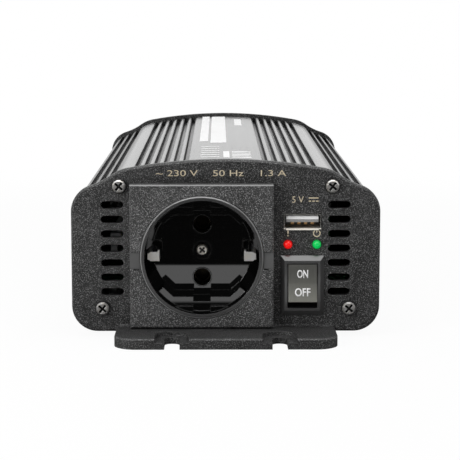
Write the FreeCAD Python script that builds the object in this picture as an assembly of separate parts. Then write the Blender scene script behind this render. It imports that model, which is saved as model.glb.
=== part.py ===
import FreeCAD, Part
import math
import os

os.makedirs("parts", exist_ok=True)

# Millimetres. The front is -Y, up is +Z, the origin is on the floor under the middle of the case.
V = FreeCAD.Vector

# case and end caps
length = 229.5
width = 107.3
height = 62.2
belly_z = 1.93
crown_radius = 190.0
crown_end_inset = 19.65
sweep_inset = 14.05
sweep_drop = 5.45
shoulder_radius = 9.5
shoulder_drop = 18.2
shoulder_angle = 72.5
belly_radius = 9.0
cap_thick = 3.0
cap_bevel = 0.7
crown_end_x = width / 2 - crown_end_inset
sweep_x = width / 2 - sweep_inset
sweep_z = height - sweep_drop
shoulder_z = height - shoulder_drop
front_face = -length / 2
front_inner = front_face + cap_thick
rear_face = length / 2
rear_inner = rear_face - cap_thick

# feet
foot_reach = 21.6
foot_width = 76.2
foot_thick = 3.65
foot_corner = 7.5
foot_edge_bevel = 0.5
foot_slot_x = 18.3
foot_slot_width = 5.2
foot_slot_depth = 7.0
foot_sink_width = 11.7
foot_sink_floor = 2.2
foot_weld = 0.9
weld_inset = 0.6
weld_bow = 0.3
tab_depth = 3.0
tab_thick = 1.6
upper_tab_half = 12.0
lower_tab_half = 24.0
roof_tab_gap = 0.7
floor_tab_gap = 0.2
slot_end_faces = 8

# finned profile
body_inset = 1.3
groove_depth = 2.6
wall = 1.9
top_groove_pitch = 3.47
top_groove_start = 14.2
top_grooves = 6
shoulder_groove_inset = 5.85
shoulder_groove_pitch = 3.5
shoulder_grooves = 3
side_groove_low = 15.0
side_groove_high = shoulder_z - 1.0
side_grooves = 9
groove_floor_width = 1.2
groove_mouth_width = 1.7
crest_bevel = 0.45
floor_wall = 2.0
floor_room_inset = 17.65
boss_radius = 3.3
boss_web = 2.0
boss_sides = 8
skin = body_inset + groove_depth + wall
inside_x = width / 2 - skin
roof_z = height - skin
floor_z = belly_z + body_inset + floor_wall

# mains socket
socket_x = -8.3
socket_z = 28.75
frame_width = 49.7
frame_height = 50.0
frame_lift = 0.3
frame_depth = 5.0
frame_bevel = 0.5
frame_wall = 2.0
frame_pocket = 6.0
frame_margin = 0.2
notch_width = 4.0
notch_height = 5.8
notch_depth = 0.6
notch_lift = -1.1
slit_start = 1.4
slit_width = 2.0
slit_depth = 1.2
slit_height = 0.5
cup_radius = 21.3
hub_sides = 24
cup_bevel = 0.5
cup_sides = 48
cup_proud = 0.4
recess_radius = 19.9
recess_floor_radius = 17.5
recess_depth = 17.5
cup_floor = 3.0
guide_chord = 14.3
guide_half = 9.9
guide_end_x = 13.4
guide_end_chord = 11.0
guide_back_x = 16.2
guide_back_chord = 13.3
guide_start = 4.0
crescent_chord = 17.3
crescent_start = 2.0
guide_groove_half = 3.0
guide_groove_chord = 15.9
guide_groove_step = 2.0
guide_sunk = 0.5
guide_wall_sunk = 0.3
pin_spacing = 19.0
pin_hole_radius = 3.05
pin_rim_radius = 3.45
pin_rim_height = 0.3
pin_sides = 16
socket_screw_sink_radius = 3.2
socket_screw_sink = 1.7
socket_screw_head = 2.15
fit = 0.1
ring_front = front_face - frame_depth - cup_proud
floor_front = ring_front + recess_depth
floor_back = floor_front + cup_floor

# end cap screws
screw_gap = 3.75
upper_screw_x = frame_width / 2 - socket_x + screw_gap
upper_screw_z = height - 9.2
lower_screw_x = width / 2 - 10.75
lower_screw_z = 10.2
screw_head_radius = 2.7
screw_head_height = 1.9
screw_rim_height = 0.7
screw_crown_radius = 1.9
screw_shank_radius = 1.45
screw_length = 9.0
screw_sides = 12
plain_sides = 8
shank_sides = 6
thread_clearance = 0.05
hole_clearance = 0.35
cross_arm = 1.75
cross_width = 0.8
cross_depth = 1.1
cross_turn = 40.0
socket_screw_tall = 1.5
socket_screw_bevel = 0.5
socket_screw_reach = 9.0
socket_screw_pilot = 10.0
socket_cross_arm = 1.3
socket_cross_width = 0.7
socket_cross_depth = 0.8

# contact base behind the socket
base_half_width = 16.5
base_half_height = 19.0
base_corner = 6.0
base_depth = 13.0
sleeve_radius = 3.0
sleeve_bore = 2.45
sleeve_start = 3.0
sleeve_length = 9.0
sleeve_end_wall = 1.2
sleeve_tail = 6.0
sleeve_tail_half = 1.5
sleeve_slit_half = 0.4
sleeve_slit_end = 3.0
lug_reach = 21.0
lug_depth = 9.0
lug_half = 3.4

# earth clips
clip_half = 1.6
clip_leg_half = 1.1
clip_thick = 0.8
clip_leg_x = 18.4
clip_inner_x = 15.1
clip_corner = 1.0
clip_top_depth = 3.0
clip_tail_depth = 9.5
clip_barb = 0.8
clip_bead = 0.8
clip_root = 5.6
clip_pocket_radius = 20.6
clip_pocket_half = 2.2
clip_pocket_inset = 1.0
clip_pocket_start = 1.6
clip_slot_inset = 0.4
clip_slot_half = 3.1
clip_play = 0.1
clip_mouth_inner = 0.7
clip_mouth_outer = 1.3

# rocker switch
switch_x = 26.65
switch_z = 18.3
bezel_width = 15.1
bezel_height = 21.0
bezel_depth = 2.0
bezel_edge = 0.5
bezel_rim = 1.0
opening_width = 10.4
opening_height = 15.6
switch_body_width = 13.0
switch_body_height = 19.2
switch_body_depth = 13.0
switch_cavity_depth = 10.5
rocker_width = 9.9
rocker_half = 6.5
rocker_reach = 5.8
rocker_dip = 0.9
rocker_tilt = 12.0
rocker_skirt = 1.2
rocker_knee_y = 1.4
rocker_knee_half = 2.6
rocker_keel_y = 3.4
rocker_keel_half = 1.2
pivot_depth = 2.0
axle_radius = 1.0
axle_end = 0.8
terminal_pitch = 5.8
terminal_width = 4.8
terminal_thick = 0.8
terminal_reach = 7.0
terminal_sunk = 1.5

# usb port
usb_x = 26.6
usb_z = 40.6
usb_width = 13.0
usb_height = 5.3
usb_wall = 0.35
usb_proud = 0.3
usb_depth = 14.2
usb_lip_width = 11.4
usb_lip_height = 0.6
usb_lip_drop = 0.25
tongue_width = 11.1
tongue_height = 2.1
tongue_bevel = 1.2
tongue_gap = 0.4
tongue_length = 8.6
tongue_sunk = 0.4
contact_pitch = 2.3
contact_width = 1.1
contact_thick = 0.25
contact_bulge = 1.0
contact_run = 7.0
contact_count = 4
contact_sunk = 0.9
contact_flat = 1.0
contact_return = 2.2

# vents
vent_gap = 1.2
vent_margin = 10.25
vent_low_z = 16.0
vent_top_gap = 6.52
vent_count = 7
vent_height = 2.6
vent_inner_x = switch_x + bezel_width / 2 + vent_gap
vent_outer_x = width / 2 - vent_margin
vent_pitch = (upper_screw_z - vent_top_gap - vent_low_z) / (vent_count - 1)
vent_end_faces = 4

# indicator lamps and their board
lamp_radius = 1.5
lamp_proud = 1.7
lamp_tip_radius = 0.7
lamp_shoulder = 0.5
lamp_shoulder_inset = 0.25
lamp_round = 1.2
lamp_flange = 1.9
lamp_flange_thick = 1.0
lamp_sides = 12
lamp_x = (21.6, 31.6)
lamp_z = 32.6
leg_half = 0.25
leg_spread = 1.27
board_thick = 1.6
panel_board_left = usb_x - 11.7
panel_board_right = usb_x + 10.4
panel_board_low = lamp_z - 3.4
panel_board_high = upper_screw_z - boss_radius - 0.6
post_left = usb_x - 8.6
post_left_z = usb_z + 6.0
post_right = usb_x + 8.2
post_right_z = usb_z + 5.0
post_radius = 2.2
post_pilot = 0.95
post_pilot_depth = 6.0
post_sunk = 0.5
small_head_radius = 2.0
small_head_height = 1.4

# fan
fan_x = -18.0
fan_floor_gap = 3.27
fan_screw_gap = 4.5
fan_size = upper_screw_z - fan_screw_gap - floor_z - fan_floor_gap
fan_z = floor_z + fan_floor_gap + fan_size / 2
fan_depth = 10.0
fan_corner = 3.0
fan_bore = fan_size * 0.465
fan_hole_pitch = fan_size * 0.8
fan_hub = fan_size * 0.2375
fan_plate = 2.2
fan_lip = 1.3
fan_column = 3.2
fan_sides = 20
blade_tip_gap = 0.8
blade_wide = 10.4
blade_thick = 1.1
blade_angle = 48.0
fan_blades = 7
fan_pin = 1.5
fan_pin_reach = 6.0
spoke_thick = 1.2
spoke_half = 1.0
spoke_sunk = 0.5
spoke_turns = (30, 150, 270)
rotor_gap = 0.4
rotor_recess = 0.6
rotor_hub_gap = 0.3
rotor_bore_depth = 5.2
blade_root = 1.5
blade_trim = 0.6
blade_near = 0.3
blade_far = 0.2
grille_rings = 3
grille_bar = 1.6
grille_inset = 0.6
grille_turns = (45, 135)
grille_hub = fan_size * 0.15

# battery posts
post_x = (12.0, 34.0)
post_z = 31.0
stud_radius = 3.0
stud_inner = 9.0
stud_outer = 15.0
collar_radius = 7.5
collar_depth = 3.0
collar_bevel = 0.6
collar_neck = 4.8
washer_radius = 6.0
washer_thick = 1.0
knob_radius = 6.8
knob_skirt = 2.0
knob_depth = 13.0
knob_crown = 1.2
knob_flutes = 9
knob_flute_depth = 0.8
knob_crest_share = 0.3
knob_roof = 1.4
running_fit = 0.08
lug_radius = 5.2
lug_thick = 1.0
lug_barrel_radius = 2.4
lug_barrel_top = 6.0
lug_barrel_low = 9.6
lug_strap_half = 2.0
nut_radius = 5.6
nut_thick = 4.0
nut_sides = 6
post_sides = 18

# circuit board and what stands on it
board_z = 15.0
board_gap = 0.65
board_front = front_face + 30.75
board_rear = rear_face - 18.75
slot_play = 0.1
ledge = 1.0
ledge_reach = 2.3
board_top = board_z + board_thick
board_half = inside_x - board_gap

core_wide = 44.0
core_deep = 13.0
core_y = 40.5
core_roof_gap = 5.8
core_leg = 13.0
core_window = 9.0
core_yoke = 6.0
core_lift = 2.0
core_gap = 0.1
bobbin_wide = 34.0
bobbin_deep = 27.0
coil_wide = 30.0
coil_deep = 24.0
coil_corner = 5.0
coil_post = 3.0

bulk_radius = 9.0
bulk_roof_gap = 7.8
bulk_x = (-22.0, 2.0)
bulk_y = -10.0
input_radius = 5.0
input_tall = 20.0
input_x = (-32.0, -19.0, -6.0)
input_y = 82.0
can_bevel = 0.8
can_sides = 14

transistor_pitch = 14.0
transistor_rows = ((1, 14.0), (-1, -62.0))
transistor_count = 4
transistor_half = 5.1
transistor_low = 21.5
transistor_mid = 30.5
transistor_high = 36.5
transistor_tab = 1.3
transistor_thick = 4.6
transistor_leg_pitch = 2.54
transistor_leg_inset = 2.4
transistor_leg = 0.5
transistor_leg_half = 0.4
pad_thick = 0.3
pad_over = 7.0
pad_low = 20.0
pad_high = 37.2
clamp_thick = 2.5
clamp_low = 22.5
clamp_high = 30.0
clamp_lip = 1.5

choke_x = 22.0
choke_y = -48.0
choke_radius = 13.5
choke_bore = 4.5
choke_tall = 9.0
choke_bevel = 2.0
film_x = -12.0
film_y = -56.0
film_wide = 24.0
film_deep = 12.0
film_tall = 17.0
film_bevel = 1.0
fuse_x = 23.0
fuse_y = (66.0, 76.0)
fuse_wide = 19.0
fuse_deep = 5.0
fuse_low = 6.0
fuse_high = 18.0
fuse_notch = 2.0
fuse_notch_depth = 0.6
fuse_notch_low = 10.0
fuse_leg_wide = 5.2
fuse_leg_thick = 0.8
fuse_leg_x = 5.9
driver_x = 17.0
driver_front = -28.0
driver_long = 50.0
driver_tall = 22.0
chip_thick = 3.3
chip_low = 8.0
chip_tall = 6.5
chip_long = 19.0
chip_starts = (8.0, 32.0)

# leads inside
heavy_lead = 1.5
mains_lead = 1.1
switch_lead = 0.9
fan_lead = 0.6
lead_sides = 6
lead_rest = 0.2
post_lead_start = 1.2
post_lead_reach = 9.0
mains_lead_drops = ((-1, 5.0), (1, 10.0))
switch_lead_drops = ((0, 4.0), (1, 8.0))
fan_lead_lift = 4.0
fan_lead_pitch = 2.2
fan_lead_inset = 10.0
fan_lead_gap = 2.0
fan_lead_reach = 6.0


def span(x0, x1, y0, y1, z0, z1):
    return Part.makeBox(x1 - x0, y1 - y0, z1 - z0, V(x0, y0, z0))


def side_span(sign, near, far, y0, y1, z0, z1):
    ends = sorted((sign * near, sign * far))
    return span(ends[0], ends[1], y0, y1, z0, z1)


def socket_span(sign, near, far, y0, y1, half):
    ends = sorted((socket_x + sign * near, socket_x + sign * far))
    return span(ends[0], ends[1], y0, y1, socket_z - half, socket_z + half)


def rod_y(x, z, radius, y0, y1):
    return Part.makeCylinder(radius, y1 - y0, V(x, y0, z), V(0, 1, 0))


def ring(radius, level, sides):
    points = []
    for index in range(sides):
        turn = 2 * math.pi * (index + 0.5) / sides
        points.append(V(radius * math.cos(turn), radius * math.sin(turn), level))
    return points


def closed(points):
    return Part.makePolygon(points + points[:1])


def stacked(rings):
    faces = [Part.Face(closed(rings[0])), Part.Face(closed(rings[-1]))]
    for low, high in zip(rings, rings[1:]):
        for index in range(len(low)):
            faces.append(Part.Face(closed([low[index - 1], low[index], high[index], high[index - 1]])))
    shell = Part.makeShell(faces)
    shell.sewShape()
    solid = Part.makeSolid(shell)
    if solid.Volume < 0:
        solid.reverse()
    return solid


def turned(profile, sides):
    return stacked([ring(radius, level, sides) for level, radius in profile])


def along_y(shape, x, z):
    shape.rotate(V(0, 0, 0), V(1, 0, 0), -90)
    shape.translate(V(x, 0, z))
    return shape


def along_z(shape, x, y):
    shape.translate(V(x, y, 0))
    return shape


def sided_rod(x, z, radius, y0, y1, sides):
    return along_y(turned([(y0, radius), (y1, radius)], sides), x, z)


def sided_hole(x, z, radius, y0, y1, sides):
    return sided_rod(x, z, radius / math.cos(math.pi / sides), y0, y1, sides)


def prism_y(points, y0, y1):
    return Part.Face(closed([V(x, y0, z) for x, z in points])).extrude(V(0, y1 - y0, 0))


def prism_x(points, x0, x1):
    return Part.Face(closed([V(x0, y, z) for y, z in points])).extrude(V(x1 - x0, 0, 0))


def prism_z(points, z0, z1):
    return Part.Face(closed([V(x, y, z0) for x, y in points])).extrude(V(0, 0, z1 - z0))


def plate(x, z, plate_width, plate_height, y0, y1):
    return span(x - plate_width / 2, x + plate_width / 2, y0, y1, z - plate_height / 2, z + plate_height / 2)


def joined(first, others):
    if not others:
        return first
    return first.fuse(list(others)).removeSplitter()


def edges_at(shape, y):
    return [edge for edge in shape.Edges if all(abs(v.Point.y - y) < 0.001 for v in edge.Vertexes)]


def half_turn(cx, cz, radius, start, faces):
    points = []
    for index in range(faces + 1):
        turn = start + math.pi * index / faces
        points.append((cx + radius * math.cos(turn), cz + radius * math.sin(turn)))
    return points


def save(shape, node):
    shape.exportStep("parts/" + node + ".step")


# End cap outline

def around(centre, radius, angle):
    turn = math.radians(angle)
    return V(centre.x + radius * math.cos(turn), centre.y, centre.z + radius * math.sin(turn))


def flip(point, sign):
    return V(point.x * sign, point.y, point.z)


def tangent_mid(start, angle, end):
    chord = end.sub(start)
    turn = math.atan2(chord.z, chord.x) - angle
    rise = chord.Length / 2 * math.tan(turn / 2)
    side = V(chord.z, 0, -chord.x).normalize()
    middle = start.add(end).multiply(0.5).add(side.multiply(rise))
    return middle, angle + 2 * turn


def side_edges(y, sign):
    crown_drop = crown_radius - math.sqrt(crown_radius ** 2 - crown_end_x ** 2)
    crown_end = V(crown_end_x, y, height - crown_drop)
    crown_angle = -math.asin(crown_end_x / crown_radius)
    sweep = V(sweep_x, y, sweep_z)
    corner = V(width / 2 - shoulder_radius, y, shoulder_z)
    landing = around(corner, shoulder_radius, shoulder_angle)
    upper_mid, sweep_angle = tangent_mid(crown_end, crown_angle, sweep)
    lower_mid = tangent_mid(sweep, sweep_angle, landing)[0]
    side_top = V(width / 2, y, shoulder_z)
    low_corner = V(width / 2 - belly_radius, y, belly_z + belly_radius)
    side_low = V(width / 2, y, belly_z + belly_radius)
    belly_end = V(width / 2 - belly_radius, y, belly_z)
    arcs = [
        (crown_end, upper_mid, sweep),
        (sweep, lower_mid, landing),
        (landing, around(corner, shoulder_radius, shoulder_angle / 2), side_top),
        (side_low, around(low_corner, belly_radius, -45.0), belly_end),
    ]
    edges = [Part.Arc(flip(a, sign), flip(b, sign), flip(c, sign)).toShape() for a, b, c in arcs]
    edges.append(Part.makeLine(flip(side_top, sign), flip(side_low, sign)))
    return edges, flip(crown_end, sign), flip(belly_end, sign)


def outline_face(y):
    right, right_crown, right_belly = side_edges(y, 1)
    left, left_crown, left_belly = side_edges(y, -1)
    crown = Part.Arc(left_crown, V(0, y, height), right_crown).toShape()
    belly = Part.makeLine(left_belly, right_belly)
    wire = Part.Wire(Part.__sortEdges__(right + left + [crown, belly]))
    return Part.Face(wire)


# Case

def crown_height(x):
    return height - crown_radius + math.sqrt(crown_radius ** 2 - x ** 2) - body_inset


def shoulder_places():
    section = outline_face(0).makeOffset2D(-body_inset)
    places = []
    for index in range(shoulder_grooves):
        x = width / 2 - shoulder_groove_inset - index * shoulder_groove_pitch
        probe = Part.makeLine(V(x, 0, shoulder_z), V(x, 0, height + wall))
        places.append((x, probe.common(section).BoundBox.ZMax))
    return places


def groove_profile(bevel):
    floor_half = groove_floor_width / 2
    mouth_half = groove_mouth_width / 2
    flare = mouth_half + 2 * bevel
    right = [(floor_half, -groove_depth), (mouth_half, -bevel), (flare, bevel), (flare, wall + groove_depth)]
    if bevel == 0:
        right = [(floor_half, -groove_depth), (mouth_half, 0), (mouth_half, wall + groove_depth)]
    left = [(-x, z) for x, z in reversed(right)]
    return right + left


def grooves():
    cuts = []
    tops = [top_groove_start + index * top_groove_pitch for index in range(top_grooves)]
    places = [(x, crown_height(x)) for x in tops] + shoulder_places()
    step = (side_groove_high - side_groove_low) / (side_grooves - 1)
    face = width / 2 - body_inset
    for sign in (-1, 1):
        for x, z in places:
            points = [(sign * x + a, z + b) for a, b in groove_profile(crest_bevel)]
            cuts.append(prism_y(points, front_inner, rear_inner))
        for index in range(side_grooves):
            z = side_groove_low + index * step
            points = [(sign * (face + b), z + a) for a, b in groove_profile(0)]
            cuts.append(prism_y(points, front_inner, rear_inner))
    return cuts


def cavity():
    inner = outline_face(front_inner).makeOffset2D(-skin)
    run = V(0, rear_inner - front_inner, 0)
    half = width / 2 - floor_room_inset
    floor_room = span(-half, half, front_inner, rear_inner, floor_z, board_z - 2 * ledge)
    return inner.extrude(run).fuse(floor_room)


def screw_places():
    places = []
    for sign in (-1, 1):
        places.append((sign * upper_screw_x, upper_screw_z))
        places.append((sign * lower_screw_x, lower_screw_z))
    return places


def extruded_body():
    run = V(0, rear_inner - front_inner, 0)
    outer = outline_face(front_inner).makeOffset2D(-body_inset).extrude(run)
    tube = outer.cut(cavity())
    extras = []
    for x, z in screw_places():
        extras.append(sided_rod(x, z, boss_radius, front_inner, rear_inner, boss_sides))
    for sign in (-1, 1):
        low = lower_screw_z - boss_web / 2
        extras.append(side_span(sign, lower_screw_x, inside_x + wall / 2, front_inner, rear_inner, low, low + boss_web))
        over = board_top + slot_play
        for rail_low, rail_high in ((board_z - ledge, board_z), (over, over + ledge)):
            extras.append(side_span(sign, inside_x - ledge_reach, inside_x + wall / 2,
                                    front_inner, rear_inner, rail_low, rail_high))
    tube = tube.fuse([extra.common(outer) for extra in extras])
    hole = screw_shank_radius + thread_clearance
    holes = [sided_hole(x, z, hole, front_inner - 1, rear_inner + 1, boss_sides) for x, z in screw_places()]
    return tube.cut(grooves() + holes).removeSplitter()


# End caps

def slot_outline(x, end, half, mouth):
    return [(x + half, mouth)] + half_turn(x, end, half, 0, slot_end_faces) + [(x - half, mouth)]


def foot():
    tip = front_face - foot_reach
    slab = span(-foot_width / 2, foot_width / 2, tip, front_inner, 0, foot_thick)
    corners = [e for e in slab.Edges if e.Length == foot_thick and e.BoundBox.YMax < front_face]
    slab = slab.makeFillet(foot_corner, corners)
    rim = [e for e in slab.Edges if e.BoundBox.ZMin > foot_thick - 0.01 and e.BoundBox.YMin < front_inner - 0.01]
    slab = slab.makeChamfer(foot_edge_bevel, rim)
    cuts = []
    for sign in (-1, 1):
        end = tip + foot_slot_depth
        for half, low in ((foot_slot_width / 2, -1), (foot_sink_width / 2, foot_sink_floor)):
            cuts.append(prism_z(slot_outline(sign * foot_slot_x, end, half, tip - 1), low, foot_thick + 1))
    return slab.cut(cuts)


def weld(x0, x1):
    low = (front_face, foot_thick)
    toe = (front_face - foot_weld, foot_thick)
    bow = (front_face - foot_weld * weld_bow, foot_thick + foot_weld * weld_bow)
    top = (front_face, foot_thick + foot_weld)
    return prism_x([low, toe, bow, top], x0, x1)


def cap_blank():
    blank = outline_face(front_face).extrude(V(0, cap_thick, 0))
    blank = blank.makeChamfer(cap_bevel, edges_at(blank, front_face))
    return blank.fuse(foot())


def locating_tabs():
    back = front_inner + tab_depth
    top = roof_z - roof_tab_gap
    low = floor_z + floor_tab_gap
    upper = span(-upper_tab_half, upper_tab_half, front_inner, back, top - tab_thick, top)
    lower = span(-lower_tab_half, lower_tab_half, front_inner, back, low, low + tab_thick)
    return [upper, lower]


def screw_holes():
    radius = screw_shank_radius + hole_clearance
    return [sided_hole(x, z, radius, front_face - 1, front_inner + 1, shank_sides) for x, z in screw_places()]


def vent_outline(x, z):
    half = vent_height / 2
    reach = max((vent_outer_x - vent_inner_x - vent_height) / 2, 0)
    right = half_turn(x + reach, z, half, -math.pi / 2, vent_end_faces)
    left = half_turn(x - reach, z, half, math.pi / 2, vent_end_faces)
    return right + left


def vents():
    cuts = []
    middle = (vent_inner_x + vent_outer_x) / 2
    for sign in (-1, 1):
        for index in range(vent_count):
            points = vent_outline(sign * middle, vent_low_z + index * vent_pitch)
            cuts.append(prism_y(points, front_face - 1, front_inner + 1))
    return cuts


def panel_posts():
    return [(post_left, post_left_z), (post_right, post_right_z)]


def front_end_cap():
    weld_end = foot_width / 2 - weld_inset
    left_of_frame = socket_x - frame_width / 2 - frame_margin
    right_of_frame = socket_x + frame_width / 2 + frame_margin
    welds = [weld(-weld_end, left_of_frame), weld(right_of_frame, weld_end)]
    board_y = front_face + usb_depth
    posts = [sided_rod(x, z, post_radius, front_inner - post_sunk, board_y, boss_sides) for x, z in panel_posts()]
    cap = cap_blank().fuse(welds + posts + locating_tabs())
    near = front_face - 1
    far = front_inner + 1
    cuts = screw_holes() + vents()
    cuts.append(sided_hole(socket_x, socket_z, cup_radius + fit, near, far, hub_sides))
    cuts.append(plate(switch_x, switch_z, switch_body_width + fit, switch_body_height + fit, near, far))
    cuts.append(plate(usb_x, usb_z, usb_width + 3 * fit, usb_height + 3 * fit, near, far))
    for x in lamp_x:
        cuts.append(sided_hole(x, lamp_z, lamp_radius + fit, near, far, lamp_sides))
    for x, z in panel_posts():
        cuts.append(sided_hole(x, z, post_pilot, board_y - post_pilot_depth, board_y + 1, shank_sides))
    return cap.cut(cuts).removeSplitter()


def grille():
    cuts = []
    reach = fan_bore - grille_inset
    ring_width = (reach - grille_hub - (grille_rings - 1) * grille_bar) / grille_rings
    near = rear_inner - 1
    far = rear_face + 1
    for index in range(grille_rings):
        inner = grille_hub + index * (ring_width + grille_bar)
        outer_disc = sided_rod(fan_x, fan_z, inner + ring_width, near, far, fan_sides)
        cuts.append(outer_disc.cut(sided_rod(fan_x, fan_z, inner, near, far, fan_sides)))
    rings = cuts[0].fuse(cuts[1:])
    across = span(fan_x - reach - 1, fan_x + reach + 1, near - 1, far + 1,
                  fan_z - grille_bar / 2, fan_z + grille_bar / 2)
    for turn in grille_turns:
        bar = across.copy()
        bar.rotate(V(fan_x, 0, fan_z), V(0, 1, 0), turn)
        rings = rings.cut(bar)
    return rings


def rear_end_cap():
    weld_end = foot_width / 2 - weld_inset
    cap = cap_blank().fuse([weld(-weld_end, weld_end)] + locating_tabs())
    cap = cap.cut(screw_holes())
    cap.rotate(V(0, 0, 0), V(0, 0, 1), 180)
    near = rear_inner - 1
    far = rear_face + 1
    cuts = [grille()]
    for x, z in fan_hole_places():
        cuts.append(sided_hole(x, z, screw_shank_radius + fit, near, far, shank_sides))
    for x in post_x:
        cuts.append(sided_hole(x, post_z, collar_neck + fit, near, far, post_sides))
    return cap.cut(cuts).removeSplitter()


# Screws

def cross(x, z, arm, wide, y0, y1):
    cuts = [plate(x, z, 2 * arm, wide, y0, y1), plate(x, z, wide, 2 * arm, y0, y1)]
    for cut in cuts:
        cut.rotate(V(x, 0, z), V(0, 1, 0), cross_turn)
    return cuts


def pan_screw(x, z, long, sides):
    top = front_face - screw_head_height
    rim = front_face - screw_rim_height
    head = turned([(top, screw_crown_radius), (rim, screw_head_radius), (front_face, screw_head_radius)], sides)
    shank = sided_rod(x, z, screw_shank_radius, front_face, front_face + long, shank_sides)
    screw = joined(along_y(head, x, z), [shank])
    return screw.cut(cross(x, z, cross_arm, cross_width, top - 1, top + cross_depth))


def cap_screws(sides):
    return Part.makeCompound([pan_screw(x, z, cap_thick + screw_length, sides) for x, z in screw_places()])


def rear_cap_screws():
    screws = cap_screws(plain_sides)
    screws.rotate(V(0, 0, 0), V(0, 0, 1), 180)
    return screws


def fan_hole_places():
    half = fan_hole_pitch / 2
    return [(fan_x + a * half, fan_z + b * half) for a in (-1, 1) for b in (-1, 1)]


def fan_screws():
    screws = Part.makeCompound([pan_screw(-x, z, cap_thick + fan_depth, plain_sides) for x, z in fan_hole_places()])
    screws.rotate(V(0, 0, 0), V(0, 0, 1), 180)
    return screws


# Mains socket

def socket_frame():
    x0 = socket_x - frame_width / 2
    x1 = socket_x + frame_width / 2
    z0 = socket_z + frame_lift - frame_height / 2
    z1 = socket_z + frame_lift + frame_height / 2
    near = front_face - frame_depth
    block = span(x0, x1, near, front_face, z0, z1)
    block = block.makeChamfer(frame_bevel, edges_at(block, near))
    cuts = [sided_hole(socket_x, socket_z, cup_radius + fit, near - 1, front_face + 1, cup_sides)]
    for px in (x0 + frame_wall, x1 - frame_wall - frame_pocket):
        for pz in (z0 + frame_wall, z1 - frame_wall - frame_pocket):
            cuts.append(span(px, px + frame_pocket, near + frame_wall, front_face + 1, pz, pz + frame_pocket))
    low = socket_z + notch_lift - notch_height / 2
    for sign, edge in ((1, x0), (-1, x1)):
        ends = sorted((edge - sign, edge + sign * notch_width))
        cuts.append(span(ends[0], ends[1], near - 1, near + notch_depth, low, low + notch_height))
        slit = sorted((edge + sign * slit_start, edge + sign * (slit_start + slit_width)))
        cuts.append(span(slit[0], slit[1], near - 1, near + slit_depth, low - slit_height, low))
    return block.cut(cuts)


def recess():
    return Part.makeCone(recess_radius, recess_floor_radius, recess_depth, V(socket_x, ring_front, socket_z), V(0, 1, 0))


def guide_block(sign):
    right = [(guide_half, guide_chord), (guide_end_x, guide_end_chord), (guide_back_x, guide_back_chord),
             (guide_back_x, cup_radius)]
    left = [(-x, z) for x, z in reversed(right)]
    outline = [(socket_x + x, socket_z + sign * z) for x, z in right + left]
    deep = prism_y(outline, ring_front + guide_start, floor_front + guide_sunk)
    level = sorted((socket_z + sign * crescent_chord, socket_z + sign * cup_radius))
    crescent = span(socket_x - cup_radius, socket_x + cup_radius, ring_front + crescent_start,
                    ring_front + guide_start, level[0], level[1])
    band = sorted((socket_z + sign * (guide_chord - guide_groove_step), socket_z + sign * guide_groove_chord))
    groove = span(socket_x - guide_groove_half, socket_x + guide_groove_half,
                  ring_front, floor_front, band[0], band[1])
    far = sorted((socket_z + sign * guide_groove_chord, socket_z + sign * cup_radius))
    mouth = span(socket_x - guide_groove_half, socket_x + guide_groove_half,
                 ring_front, ring_front + guide_start, far[0], far[1])
    cup_wall = sided_rod(socket_x, socket_z, recess_radius + guide_wall_sunk, ring_front,
                         floor_front + guide_sunk, cup_sides)
    return deep.fuse(crescent).cut([groove, mouth]).common(cup_wall)


def socket_cup():
    profile = [(ring_front, cup_radius - cup_bevel), (ring_front + cup_bevel, cup_radius), (floor_back, cup_radius)]
    cup = along_y(turned(profile, cup_sides), socket_x, socket_z)
    cup = cup.cut(recess()).fuse([guide_block(sign) for sign in (-1, 1)])
    cuts = []
    for sign in (-1, 1):
        z = socket_z + sign * pin_spacing / 2
        cup = cup.fuse(sided_rod(socket_x, z, pin_rim_radius, floor_front - pin_rim_height, floor_back, pin_sides))
        cuts.append(sided_hole(socket_x, z, pin_hole_radius, floor_front - 1, floor_back + 1, pin_sides))
        cuts.append(socket_span(sign, clip_inner_x + clip_pocket_inset, clip_pocket_radius,
                                ring_front + clip_pocket_start, floor_front + fit, clip_pocket_half))
        cuts.append(socket_span(sign, clip_inner_x - clip_pocket_inset, clip_pocket_radius - clip_slot_inset,
                                floor_front - fit, floor_back + 1, clip_slot_half))
    cuts.append(sided_hole(socket_x, socket_z, socket_screw_sink_radius, floor_front - 1,
                           floor_front + socket_screw_sink, pin_sides))
    cuts.append(sided_hole(socket_x, socket_z, screw_shank_radius + fit, floor_front, floor_back + 1, boss_sides))
    return cup.cut(cuts).removeSplitter()


def socket_base():
    deep = floor_back + base_depth
    block = plate(socket_x, socket_z, 2 * base_half_width, 2 * base_half_height, floor_back, deep)
    upright = [e for e in block.Edges if abs(e.Length - base_depth) < 0.001]
    block = block.makeChamfer(base_corner, upright)
    lugs = [socket_span(sign, base_half_width - 1, lug_reach, floor_back + 1, floor_back + lug_depth, lug_half)
            for sign in (-1, 1)]
    block = block.fuse(lugs)
    cuts = []
    root_y = floor_back + clip_root
    reach = clip_half + clip_play
    for sign in (-1, 1):
        z = socket_z + sign * pin_spacing / 2
        cuts.append(sided_hole(socket_x, z, sleeve_radius + thread_clearance, floor_back - 1, deep + 1, plain_sides))
        root_x = socket_x + sign * clip_leg_x
        seat = (clip_bead + running_fit) / math.cos(math.pi / boss_sides)
        bead_room = turned([(socket_z - reach, seat), (socket_z + reach, seat)], boss_sides)
        cuts.append(along_z(bead_room, root_x, root_y))
        mouth = sorted((root_x - sign * clip_mouth_inner, root_x + sign * clip_mouth_outer))
        cuts.append(span(mouth[0], mouth[1], floor_back, root_y, socket_z - reach, socket_z + reach))
    shank = screw_shank_radius + thread_clearance
    cuts.append(sided_hole(socket_x, socket_z, shank, floor_back - 1, floor_back + socket_screw_pilot, boss_sides))
    return block.cut(cuts).removeSplitter()


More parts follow.
